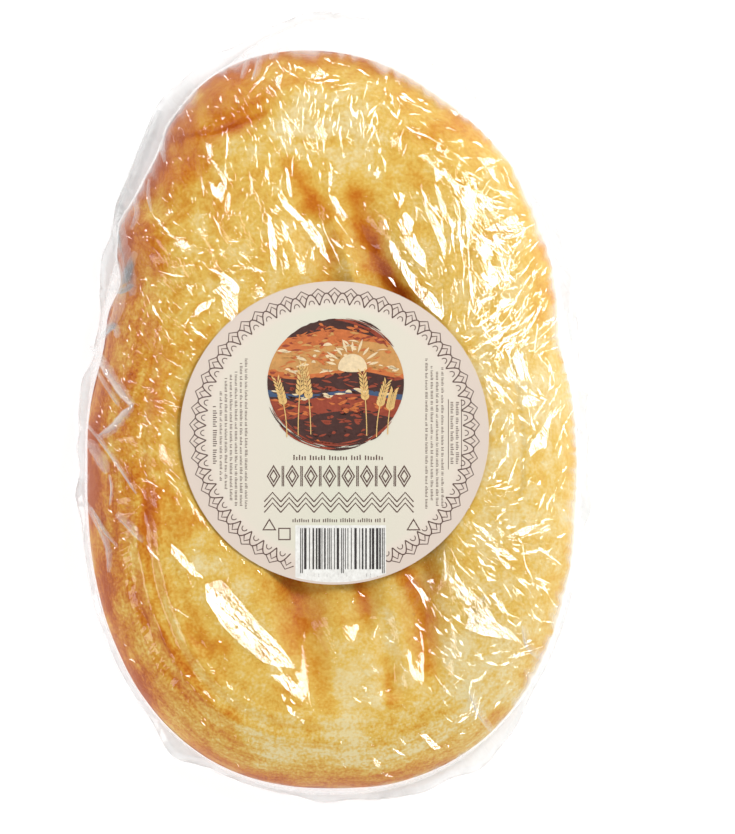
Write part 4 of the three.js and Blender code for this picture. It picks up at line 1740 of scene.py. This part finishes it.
    def slab(self, outline: Array, top: Array, milk_and_sheen: float, crinkle: float) -> None:
        """Add a flat piece of film.

        Args:
            outline: Its corners in plan, one row each.
            top: The height of its upper face at each corner.
            milk_and_sheen: How milky it is, painted sheen included.
            crinkle: How strong its fine creases are.
        """
        size = len(outline)
        points = np.concatenate([np.c_[outline, top], np.c_[outline, top - self.thickness]])
        index = np.arange(size)
        following = (index + 1) % size
        sides = np.stack([index, index + size, following + size, following], axis=1)
        self.add(points, np.full(2 * size, milk_and_sheen), crinkle, index[None], (index + size)[None, ::-1], sides)

    def facet(self, outline: Array, stray: float, milk_and_sheen: float, crinkle: float) -> None:
        """Add a pucker as sloping strips, each low enough to lie on the film.

        Args:
            outline: Its corners in plan.
            stray: How far its strips stray from mirroring the key light.
            milk_and_sheen: How milky it is, painted sheen included.
            crinkle: How strong its fine creases are.
        """
        middle = outline.mean(axis=0)
        wanted = self.studio.mirror_slope(middle)
        across = wanted - self.skin.slope(middle)
        steepness = max(float(np.hypot(*across)), 0.05)
        way = across / steepness
        if np.cross(outline[1] - outline[0], outline[-1] - outline[0]) < 0:
            outline = outline[::-1]
        widest = float(np.clip(self.rise / steepness, *self.strip_range))
        place = float((outline @ way).min())
        rest = outline
        while len(rest) > 2:
            place += widest * self.draw.uniform(0.45, 1.0)
            strip = clip(rest, way, place)
            rest = clip(rest, -way, -place)
            if len(strip) > 2:
                slope = wanted + self.draw.normal(0, stray, 2)
                plane = strip @ slope
                lift = self.foot - float((plane - self.skin.at(strip)).min())
                self.slab(strip, plane + lift, milk_and_sheen, crinkle)

    def small(self) -> None:
        """Add many small slivers that follow the nearest large pucker."""
        middles = np.array([np.mean(outline, axis=0) for outline in self.outlines])
        ways = np.array([np.subtract(outline[len(outline) // 2], outline[0]) for outline in self.outlines])
        placed = 0
        while placed < self.small_count:
            spot = np.array([self.draw.uniform(*self.small_x), self.draw.uniform(*self.small_y)])
            x, y = spot[:1], spot[1:]
            if self.film.form.loaf.inset(x, y)[0] < 3 or self.film.form.beyond_label(x, y)[0] < 2:
                continue
            if self.draw.uniform() > self.film.liveliness(x, y)[0]:
                continue
            placed += 1
            nearest = ways[int(np.argmin(np.hypot(*(middles - spot).T)))]
            along = heading(math.degrees(math.atan2(nearest[1], nearest[0])) + self.draw.normal(0, 16))
            side = np.array([-along[1], along[0]])
            scale = 0.5 + 0.5 * smoothstep(x, -40, 10)[0]
            length = scale * self.draw.uniform(*self.small_length)
            width = scale * self.draw.uniform(*self.small_width)
            if self.draw.uniform() < self.long_share:
                length, width = 2.4 * length, 0.6 * width
            bend = self.draw.uniform(-0.12, 0.12) * length
            outline = spot + np.array([
                -0.5 * length * along,
                (0.5 * width + bend) * side - 0.1 * length * along,
                0.5 * length * along,
                (bend - 0.5 * width) * side + 0.05 * length * along,
            ])
            self.facet(outline, self.small_stray, 0.02, 0.4)

    def ribbon(self, ribbon: Ribbon) -> None:
        """Add a doubled strip of film, sharp where it is folded and fading out on the other side."""
        path = spline(ribbon.path, 6 * (len(ribbon.path) - 1))
        normal = sideways(np.gradient(path, axis=0))
        taper = np.sin(np.pi * np.linspace(0.06, 0.94, len(path))) ** 0.4
        width = ribbon.width * taper * self.draw.uniform(0.85, 1.15, len(path))
        lines = [path + normal * width[:, None] * share for share in (-0.35, -0.2, 0.65)]
        top = np.stack([np.c_[line, self.skin.at(line) + 0.25] for line in lines], axis=1)
        rings = np.concatenate([top, top[:, ::-1] - [0, 0, self.thickness]], axis=1)
        milk_and_sheen = self.whiteness * ribbon.milk_and_sheen * taper[:, None] * np.array([0, 1, 0, 0, 0, 0])
        self.add(ring_points(top[0, 1], rings, top[-1, 1]), np.concatenate([[0], milk_and_sheen.ravel(), [0]]), 1.0,
                 *ring_faces(len(path), 6))

    def build(self) -> Piece:
        """Build all the puckers as one piece."""
        for outline in self.outlines:
            self.facet(np.array(outline, dtype=float), self.stray, 0.03, 1.25)
        self.small()
        for ribbon in self.ribbons:
            self.ribbon(ribbon)
        points = np.concatenate(self.points)
        faces = [np.concatenate(group) for _, group in sorted(self.faces.items())]
        piece = make_object("film_puckers", self.film.frame.place(points), faces, smooth=False)
        self.film.dress(piece, points[:, 0], points[:, 1], np.concatenate(self.crinkle),
                        np.concatenate(self.milk_and_sheen))
        return piece


# ---------------------------------------------------------------- the label


@dataclass
class Paper:
    """The round paper of the label."""

    form: PackForm
    frame: Frame
    above_film: float = 0.3
    thickness: float = 0.2
    columns: int = 160
    field_half_width: float = 46.0
    rim_range: Point = (44.0, 48.0)
    rim_tone: float = 0.95
    shares: tuple[float, ...] = (0.1, 0.2, 0.3, 0.4, 0.5, 0.6, 0.7, 0.8, 0.9, 0.97, 1.0)

    def top(self, x: Array) -> Array:
        """Give the height of the paper's upper face."""
        return self.form.label_bed(x) + self.above_film + self.thickness

    def build(self) -> Piece:
        """Build the paper, a thin bent disc."""
        form = self.form
        angles = np.linspace(0, 2 * np.pi, self.columns, endpoint=False)
        reach = np.hypot(form.label_radii[0] * np.cos(angles), form.label_radii[1] * np.sin(angles))
        shares = np.array([*self.shares, *self.shares[::-1]])[:, None]
        x, y = form.from_label(shares * reach, angles)
        over = np.arange(len(shares))[:, None] < len(self.shares)
        z = self.top(x) - np.where(over, 0.0, self.thickness)
        centre = np.array([*form.label_centre, 0.0])
        height = float(self.top(centre[0:1])[0])
        points = ring_points(centre + [0, 0, height], np.stack([x, y, z], axis=-1),
                             centre + [0, 0, height - self.thickness])
        piece = make_object("label_paper", self.frame.place(points), ring_faces(*x.shape), smooth=False)
        from_centre = points[:, :2] - centre[:2]
        across = np.abs(from_centre[:, 0]) / self.field_half_width
        rim = smoothstep(np.hypot(*from_centre.T), *self.rim_range)
        paint(piece, "outward", 0.5 * np.clip(across, 0, 1) * (1 - rim) + rim * self.rim_tone)
        return piece


class Sheet:
    """Thin slabs of one ink on the label, gathered into one mesh."""

    gap: ClassVar[float] = 0.012
    coat: ClassVar[float] = 0.018

    def __init__(self, name: str, ink: Ink, layer: int) -> None:
        """Start an empty sheet.

        Args:
            name: The name of the piece that it becomes.
            ink: Its ink.
            layer: Its place in the stack of inks, 1 being next to the paper.
        """
        self.name = name
        self.ink = ink
        self.layer = layer
        self.points: list[Array] = []
        self.faces: list[Array] = []
        self.count = 0

    def strip(self, left: Array, right: Array, closed: bool = False) -> None:
        """Add a slab between two lines of points.

        Args:
            left: One side's points, from the label's centre.
            right: The other side's points, as many.
            closed: Whether the strip comes back to its start.
        """
        size = len(left)
        upper = np.concatenate([left, right])
        points = np.concatenate([np.c_[upper, np.ones(2 * size)], np.c_[upper, np.zeros(2 * size)]])
        index = np.arange(size if closed else size - 1)
        following = (index + 1) % size
        a, b, c, d = index, index + size, following + size, following
        low = 2 * size
        faces = [np.stack(q, axis=1) for q in (
            (a, b, c, d), (a + low, d + low, c + low, b + low),
            (a, d, d + low, a + low), (b, b + low, c + low, c),
        )]
        if not closed:
            end = size - 1
            faces.append(np.array([[0, low, low + size, size],
                                   [end, end + size, low + end + size, low + end]]))
        self.points.append(points)
        self.faces.append(np.concatenate(faces) + self.count)
        self.count += len(points)

    def line(self, path: Array, width: float, closed: bool = False) -> None:
        """Add a line of even width along a path."""
        path = np.asarray(path, dtype=float)
        if closed:
            run = np.roll(path, -1, axis=0) - np.roll(path, 1, axis=0)
        else:
            run = np.gradient(path, axis=0)
        normal = sideways(run)
        self.strip(path + normal * width / 2, path - normal * width / 2, closed)

    def polygon_line(self, corners: Sequence[Point], width: float) -> None:
        """Add a closed outline with mitred corners."""
        path = np.array(corners, dtype=float)
        before = path - np.roll(path, 1, axis=0)
        after = np.roll(path, -1, axis=0) - path
        before = before / np.hypot(*before.T)[:, None]
        after = after / np.hypot(*after.T)[:, None]
        normal = np.stack([-(before + after)[:, 1], (before + after)[:, 0]], axis=1)
        normal = normal / np.sum(normal * np.stack([-after[:, 1], after[:, 0]], axis=1), axis=1)[:, None]
        self.strip(path + normal * width / 2, path - normal * width / 2, closed=True)

    def box(self, x: float, y: float, width: float, height: float) -> None:
        """Add a rectangle from its lower left corner."""
        self.strip(np.array([[x, y], [x, y + height]]), np.array([[x + width, y], [x + width, y + height]]))

    def between(self, low: Callable[[Array], Array], high: Callable[[Array], Array], x: Array) -> None:
        """Add the field between two curves over a run of x."""
        self.strip(np.stack([x, high(x)], axis=1), np.stack([x, low(x)], axis=1))

    def build(self, paper: Paper) -> Piece:
        """Lay the slabs on the paper.

        Args:
            paper: The label's paper.

        Returns:
            The piece.
        """
        points = np.concatenate(self.points)
        centre = paper.form.label_centre
        x, y = points[:, 0] + centre[0], points[:, 1] + centre[1]
        lift = self.gap + self.coat * (self.layer - 1) + self.coat * points[:, 2]
        placed = paper.frame.place(np.stack([x, y, paper.top(x) + lift], axis=1))
        return make_object(self.name, placed, [np.concatenate(self.faces)], smooth=False)


@dataclass
class Lace:
    """The lace border: arches side by side with a pointed leaf between each two."""

    count: int = 54
    base: float = 45.9
    top: float = 50.0
    tip: float = 51.8
    line_width: float = 0.42
    gap_degrees: float = 22.0
    inner_arc: float = 46.5
    inner_rise: float = 1.3
    leaf_foot: float = 49.8
    inner_leaf_foot: float = 48.7

    def draw(self, sheet: Sheet) -> None:
        """Draw the border all round, apart from the gap at the foot."""
        pitch = 2 * np.pi / self.count
        foot = -np.pi / 2
        for index in range(self.count):
            middle = foot + (index + 0.5) * pitch
            turn = abs(math.remainder(middle - foot, 2 * math.pi))
            if turn < math.radians(self.gap_degrees):
                continue
            self.draw_arch(sheet, middle, pitch)
            self.draw_leaf(sheet, middle + pitch / 2, pitch)

    def draw_arch(self, sheet: Sheet, middle: float, pitch: float) -> None:
        """Draw one arch and the small arc inside it."""
        share = np.linspace(-1, 1, 15)
        radius = self.base + (self.top - self.base) * (1 - share**2) ** 1.2
        sheet.line(polar(radius, middle + share * pitch * 0.5), self.line_width)
        turn = np.linspace(0, np.pi, 9)
        radius = self.inner_arc + self.inner_rise * np.sin(turn)
        sheet.line(polar(radius, middle + 0.18 * pitch * np.cos(turn)), 0.75 * self.line_width)

    def draw_leaf(self, sheet: Sheet, middle: float, pitch: float) -> None:
        """Draw one pointed leaf and the smaller one inside it, both open towards the arches."""
        outer, inner = (self.tip, self.leaf_foot, 0.44), (self.tip - 1.5, self.inner_leaf_foot, 0.22)
        for tip, foot, half in (outer, inner):
            corners = np.array([[foot, -half], [tip, 0.0], [foot, half]])
            sheet.line(polar(corners[:, 0], middle + corners[:, 1] * pitch), 0.85 * self.line_width)


@dataclass
class Picture:
    """A round painted view of a wheat field under a low sun, with a ragged edge."""

    x: float = 0.4
    y: float = 17.9
    half_width: float = 24.4
    half_height: float = 22.8
    dab_count: int = 520
    rag_count: int = 46
    touches: ClassVar[dict[str, tuple[str, ...]]] = {
        "picture_ground": ("dabs_rust", "dabs_umber", "dabs_orange"),
        "picture_glow": ("dabs_rust", "dabs_ochre", "dabs_orange"),
        "picture_sky": ("dabs_cream", "dabs_orange", "dabs_ochre"),
        "picture_far_hill": ("dabs_rust", "dabs_umber", "dabs_rust"),
        "picture_river": ("dabs_umber", "dabs_cream"),
        "picture_hill": ("dabs_orange", "dabs_umber", "dabs_rust"),
        "picture_near_hill": ("dabs_rust", "dabs_umber", "dabs_umber"),
    }

    def edge(self, x: Array, sign: int) -> Array:
        """Give the y of the picture's upper or lower edge."""
        across = np.clip((x - self.x) / self.half_width, -1, 1)
        ragged = 0.5 * SlowNoise(1.1, 71 + sign).at(x, np.zeros_like(x))
        ragged = ragged * (1 if sign < 0 else 0.45)
        return self.y + sign * self.half_height * np.sqrt(1 - across**2) + ragged * (1 - across**2)

    def field(self, sheet: Sheet, low: Callable[[Array], Array], high: Callable[[Array], Array],
              steps: int = 96) -> None:
        """Add the part of the picture between two curves."""
        x = self.x + self.half_width * np.sin(np.linspace(-0.49, 0.49, steps) * np.pi)
        top = np.minimum(high(x), self.edge(x, 1))
        bottom = np.maximum(low(x), self.edge(x, -1))
        seen = top > bottom + 0.02
        runs = np.split(np.arange(steps), np.flatnonzero(np.diff(seen.astype(int))) + 1)
        for run in runs:
            if seen[run[0]] and len(run) > 1:
                sheet.strip(np.stack([x[run], top[run]], axis=1), np.stack([x[run], bottom[run]], axis=1))

    def stroke(self, sheet: Sheet, path: Array, width: float) -> None:
        """Add one dab of a brush, pointed at both ends."""
        normal = sideways(np.gradient(path, axis=0))
        half = normal * (0.5 * width * np.sin(np.pi * np.linspace(0.04, 0.96, len(path))))[:, None]
        sheet.strip(path + half, path - half)

    def dabs(self, sheets: dict[str, Sheet], bands: dict[str, tuple[Callable, Callable]]) -> None:
        """Break up the fields with dabs of their neighbours' inks, and rag the edge like a dry brush.

        Args:
            sheets: The picture's sheets by their names.
            bands: The lower and upper curve of each field, by its sheet's name, from the back to the front.
        """
        draw = np.random.default_rng(9)
        size = np.array([self.half_width, self.half_height])
        centre = np.array([self.x, self.y])
        for _ in range(self.dab_count):
            spot = centre + size * math.sqrt(draw.uniform(0, 0.9)) * heading(draw.uniform(0, 360))
            under = [name for name, (low, high) in bands.items()
                     if low(spot[:1])[0] < spot[1] < high(spot[:1])[0]][-1]
            ink = self.touches[under][int(draw.integers(len(self.touches[under])))]
            run = heading(draw.normal(0, 14)) * draw.uniform(1.2, 4.2)
            share = np.linspace(-1, 1, 7)[:, None]
            rise = np.array([0, draw.uniform(-0.5, 0.5)])
            path = spot + share * run / 2 + (1 - share**2) * rise
            self.stroke(sheets[ink], path, draw.uniform(0.35, 1.2))
        for _ in range(self.rag_count):
            start = float(draw.choice([draw.uniform(195, 300), draw.uniform(30, 75)], p=[0.75, 0.25]))
            turns = np.radians(np.linspace(start, start + draw.uniform(8, 34), 9))
            path = centre + size * draw.uniform(0.94, 1.055) * polar(1.0, turns)
            self.stroke(sheets[f"dabs_{draw.choice(['umber', 'rust'])}"], path, draw.uniform(0.25, 0.8))

    def ear(self, sheet: Sheet, foot: Point, lean: float, length: float, size: float) -> None:
        """Add a stalk with its ear of paired grains."""
        share = np.linspace(0, 1, 12)
        bend = lean * share**2
        stalk = np.stack([foot[0] + bend, foot[1] + length * share], axis=1)
        sheet.line(stalk, 0.35)
        for index in range(7):
            place = 0.58 + 0.42 * index / 6
            middle = np.array([foot[0] + lean * place**2, foot[1] + length * place])
            for side in (-1, 1):
                slant = heading(90 - side * 28 - math.degrees(2 * lean * place / length))
                half = size * (0.62 - 0.05 * index)
                grain = np.linspace(0, 1, 6)
                spine = middle + np.outer(grain, slant) * size * 2.1 + np.array([side * 0.25 * size, 0])
                cross = np.array([-slant[1], slant[0]]) * half
                width = np.sin(np.pi * np.clip(grain, 0.03, 0.97))[:, None] * cross * 0.8
                sheet.strip(spine + width, spine - width)

    def draw(self, sheets: dict[str, Sheet]) -> None:
        """Paint the view.

        Args:
            sheets: The picture's sheets by their names.
        """
        def flat(level: float) -> Callable[[Array], Array]:
            """Give a level line."""
            return lambda x: np.full_like(x, level)

        def wave(level: float, rise: float, spacing: float, shift: float) -> Callable[[Array], Array]:
            """Give a line that rises and falls about a level."""
            return lambda x: level + rise * np.sin((x + shift) / spacing)

        bands = {
            "picture_ground": (flat(-99.0), flat(99.0)),
            "picture_glow": (wave(19.5, 1.2, 7, 2), wave(35.5, 1.6, 6, 9)),
            "picture_sky": (wave(22.0, 1.0, 6, 1), wave(31.0, 1.8, 8, 4)),
            "picture_far_hill": (wave(13.0, 1.0, 5, 0), wave(20.6, 1.5, 6.5, 3)),
            "picture_river": (wave(12.2, 0.7, 5, 0), wave(14.6, 0.9, 5.6, 1)),
            "picture_hill": (wave(4.0, 1.4, 6, 2), wave(12.8, 1.2, 7, 5)),
            "picture_near_hill": (wave(-1.0, 1.2, 5, 1), wave(6.2, 1.6, 8, 8)),
        }
        for name, (low, high) in bands.items():
            self.field(sheets[name], low, high)
        self.dabs(sheets, bands)
        turn = np.linspace(0.02, np.pi - 0.02, 24)
        sun = np.array([6.4, 23.0])
        arc = polar(5.2, turn)
        sheets["picture_sun"].strip(sun + arc, sun + arc * np.array([1, -0.25]))
        for index in range(9):
            ray = np.linspace(6.0, 9.6 + 1.4 * (index % 2), 6)
            self.stroke(sheets["picture_sun"], sun + np.outer(ray, heading(14 + index * 19)), 0.9)
        for index, (x, lean, length) in enumerate(((-17, -3.5, 20), (-13, 1.5, 25), (-8.5, -2, 22),
                                                   (15, 3.5, 19), (11.5, -1.5, 22), (19, 2.0, 15))):
            self.ear(sheets["picture_ears"], (x, -1.5 + 0.5 * (index % 3)), lean, length, 1.15)


@dataclass
class Print:
    """Everything printed on the label."""

    paper: Paper
    grain: Grain
    module: float = 0.31
    bar_foot: float = -48.7

    def frieze(self, sheet: Sheet, low: float, height: float, start: float, end: float, kind: int) -> None:
        """Draw a row of double-lined ornaments.

        Args:
            sheet: The sheet of thin lines.
            low: The y of the row's foot.
            height: The row's height.
            start: The x where it starts.
            end: The x where it ends.
            kind: 0 for lozenges and posts, 1 for waves of chevrons.
        """
        pitch = (end - start) / (8 if kind == 0 else 9)
        middle = low + height / 2
        for index in range(8 if kind == 0 else 9):
            x = start + (index + 0.5) * pitch
            if kind == 0:
                for half_width, half_height in ((0.33 * pitch, height / 2), (0.19 * pitch, height * 0.29)):
                    sheet.polygon_line([(x - half_width, middle), (x, middle - half_height),
                                        (x + half_width, middle), (x, middle + half_height)], 0.45)
                for side in (0.46, 0.54):
                    if index < 7:
                        sheet.box(x + side * pitch - 0.18, low, 0.36, height)
            else:
                for lift in (0.0, 0.26, 0.52):
                    foot = low + lift * height
                    peak = (x, foot + 0.46 * height)
                    sheet.line([(x - pitch / 2, foot), peak, (x + pitch / 2, foot)], 0.45)

    def ticks(self, sheet: Sheet, start: float, end: float, level: float, size: float, upright: bool,
              seed: int) -> None:
        """Draw a row of fine ticks, in groups of a few.

        Args:
            sheet: The sheet of thin lines.
            start: Where the row starts.
            end: Where it ends.
            level: How far to the side, or up, the row's foot lies.
            size: The length of the longest tick.
            upright: Whether the row runs up the label instead of across it.
            seed: The seed of its random draw.
        """
        draw = np.random.default_rng(seed)
        place, left = start, int(draw.integers(3, 9))
        while place < end:
            length = size * draw.uniform(0.55, 1.0)
            thick = size * 0.24
            if upright:
                sheet.box(level, place, length, thick)
            else:
                sheet.box(place, level, thick, length)
            left -= 1
            place += size * 0.52
            if left == 0:
                place += size * 0.5
                left = int(draw.integers(3, 9))

    def bars(self, sheet: Sheet) -> None:
        """Draw upright bars of one to three modules, with longer pairs at the ends and the middle."""
        draw = np.random.default_rng(5)
        left, right, top = -11.8, 17.4, -34.0
        middle = (left + right) / 2
        for x in (left, middle, right):
            for step in (-1, 1):
                sheet.box(x + step * self.module - self.module / 2, self.bar_foot - 1.4, self.module,
                          top - self.bar_foot + 1.4)
        for start, end in ((left, middle), (middle, right)):
            place = start + 3 * self.module
            while place < end - 4 * self.module:
                width = self.module * int(draw.integers(1, 4)) * 0.92
                sheet.box(place, self.bar_foot, width, top - self.bar_foot)
                place += width + self.module * int(draw.integers(1, 4))

    def make(self) -> None:
        """Print the whole label."""
        lines = Sheet("print_lines", Ink.LINE, 1)
        Lace().draw(lines)
        self.frieze(lines, -19.1, 7.3, -25.1, 28.2, 0)
        self.frieze(lines, -28.4, 7.3, -25.1, 28.2, 1)
        self.ticks(lines, -14.7, 17.7, -9.7, 1.9, False, 1)
        self.ticks(lines, -15.0, 18.2, -31.9, 1.5, False, 2)
        self.ticks(lines, -9.8, 2.0, -51.4, 1.5, False, 3)
        self.ticks(lines, 4.2, 15.6, -51.4, 1.5, False, 4)
        columns = ((-43.4, -11, 9.5, 1.5), (-41.0, -17, 15, 1.0), (-39.2, -20, 19.5, 1.0),
                   (-37.4, -24, 20.5, 1.0), (-35.6, -26, 22, 1.0), (-33.8, -26, 25, 1.0),
                   (-32.0, -27, 26.5, 1.0), (32.4, -27, 26.5, 1.0), (34.3, -24, 24, 1.0),
                   (36.2, -26, 22.5, 1.0), (38.1, -26, 23.5, 1.0), (41.4, -11, 11, 1.2), (43.3, -11, 11, 1.2))
        for index, (level, start, end, size) in enumerate(columns):
            self.ticks(lines, start, end, level, size, True, 10 + index)
        for x in (40.5, 45.2):
            lines.box(x, -13, 0.25, 25)
        for x in (-23.3, 28.2):
            lines.polygon_line([(x - 2.2, -34.6), (x + 2.2, -34.6), (x, -30.9)], 0.4)
        lines.polygon_line([(-19.9, -38.1), (-15.9, -38.1), (-15.9, -34.1), (-19.9, -34.1)], 0.4)

        blank = Sheet("print_blank", Ink.BLANK, 1)
        x = np.linspace(-14.0, 18.4, 24)
        blank.between(lambda v: -53.4 * np.sqrt(1 - (v / 54.6) ** 2), lambda v: np.full_like(v, -33.0), x)
        bars = Sheet("print_bars", Ink.BAR, 3)
        self.bars(bars)

        layers = (
            ("picture_ground", Ink.UMBER), ("picture_glow", Ink.ORANGE), ("picture_sky", Ink.OCHRE),
            ("picture_far_hill", Ink.UMBER), ("picture_river", Ink.BLUE), ("picture_hill", Ink.RUST),
            ("picture_near_hill", Ink.UMBER), ("dabs_umber", Ink.UMBER), ("dabs_rust", Ink.RUST),
            ("dabs_orange", Ink.ORANGE), ("dabs_ochre", Ink.OCHRE), ("dabs_cream", Ink.CREAM),
            ("picture_sun", Ink.CREAM), ("picture_ears", Ink.WHEAT),
        )
        sheets = {name: Sheet(name, ink, 1 + index) for index, (name, ink) in enumerate(layers)}
        Picture().draw(sheets)

        finishes = {ink: InkFinish(ink).make(self.grain) for ink in Ink}
        for sheet in (lines, blank, bars, *sheets.values()):
            attach(sheet.build(self.paper), finishes[sheet.ink], "label_ink")


def main() -> None:
    """Build and dress the pack, then the studio."""
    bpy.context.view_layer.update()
    form = PackForm()
    place = Frame(form)
    studio = Studio(place)
    studio.build()

    grain = Grain()
    loaf = Loaf(form, place)
    attach(loaf.build(), CrustFinish().make(grain), "crust", "bag")
    film = Film(form, place, loaf)
    clear = FilmFinish().make()
    attach(film.build(), clear, "film", "bag")
    attach(Puckers(film, studio).build(), clear, "film")
    paper = Paper(form, place)
    attach(paper.build(), PaperFinish().make(grain), "label_paper", "label")
    Print(paper, grain).make()


if __name__ == "__main__":
    main()
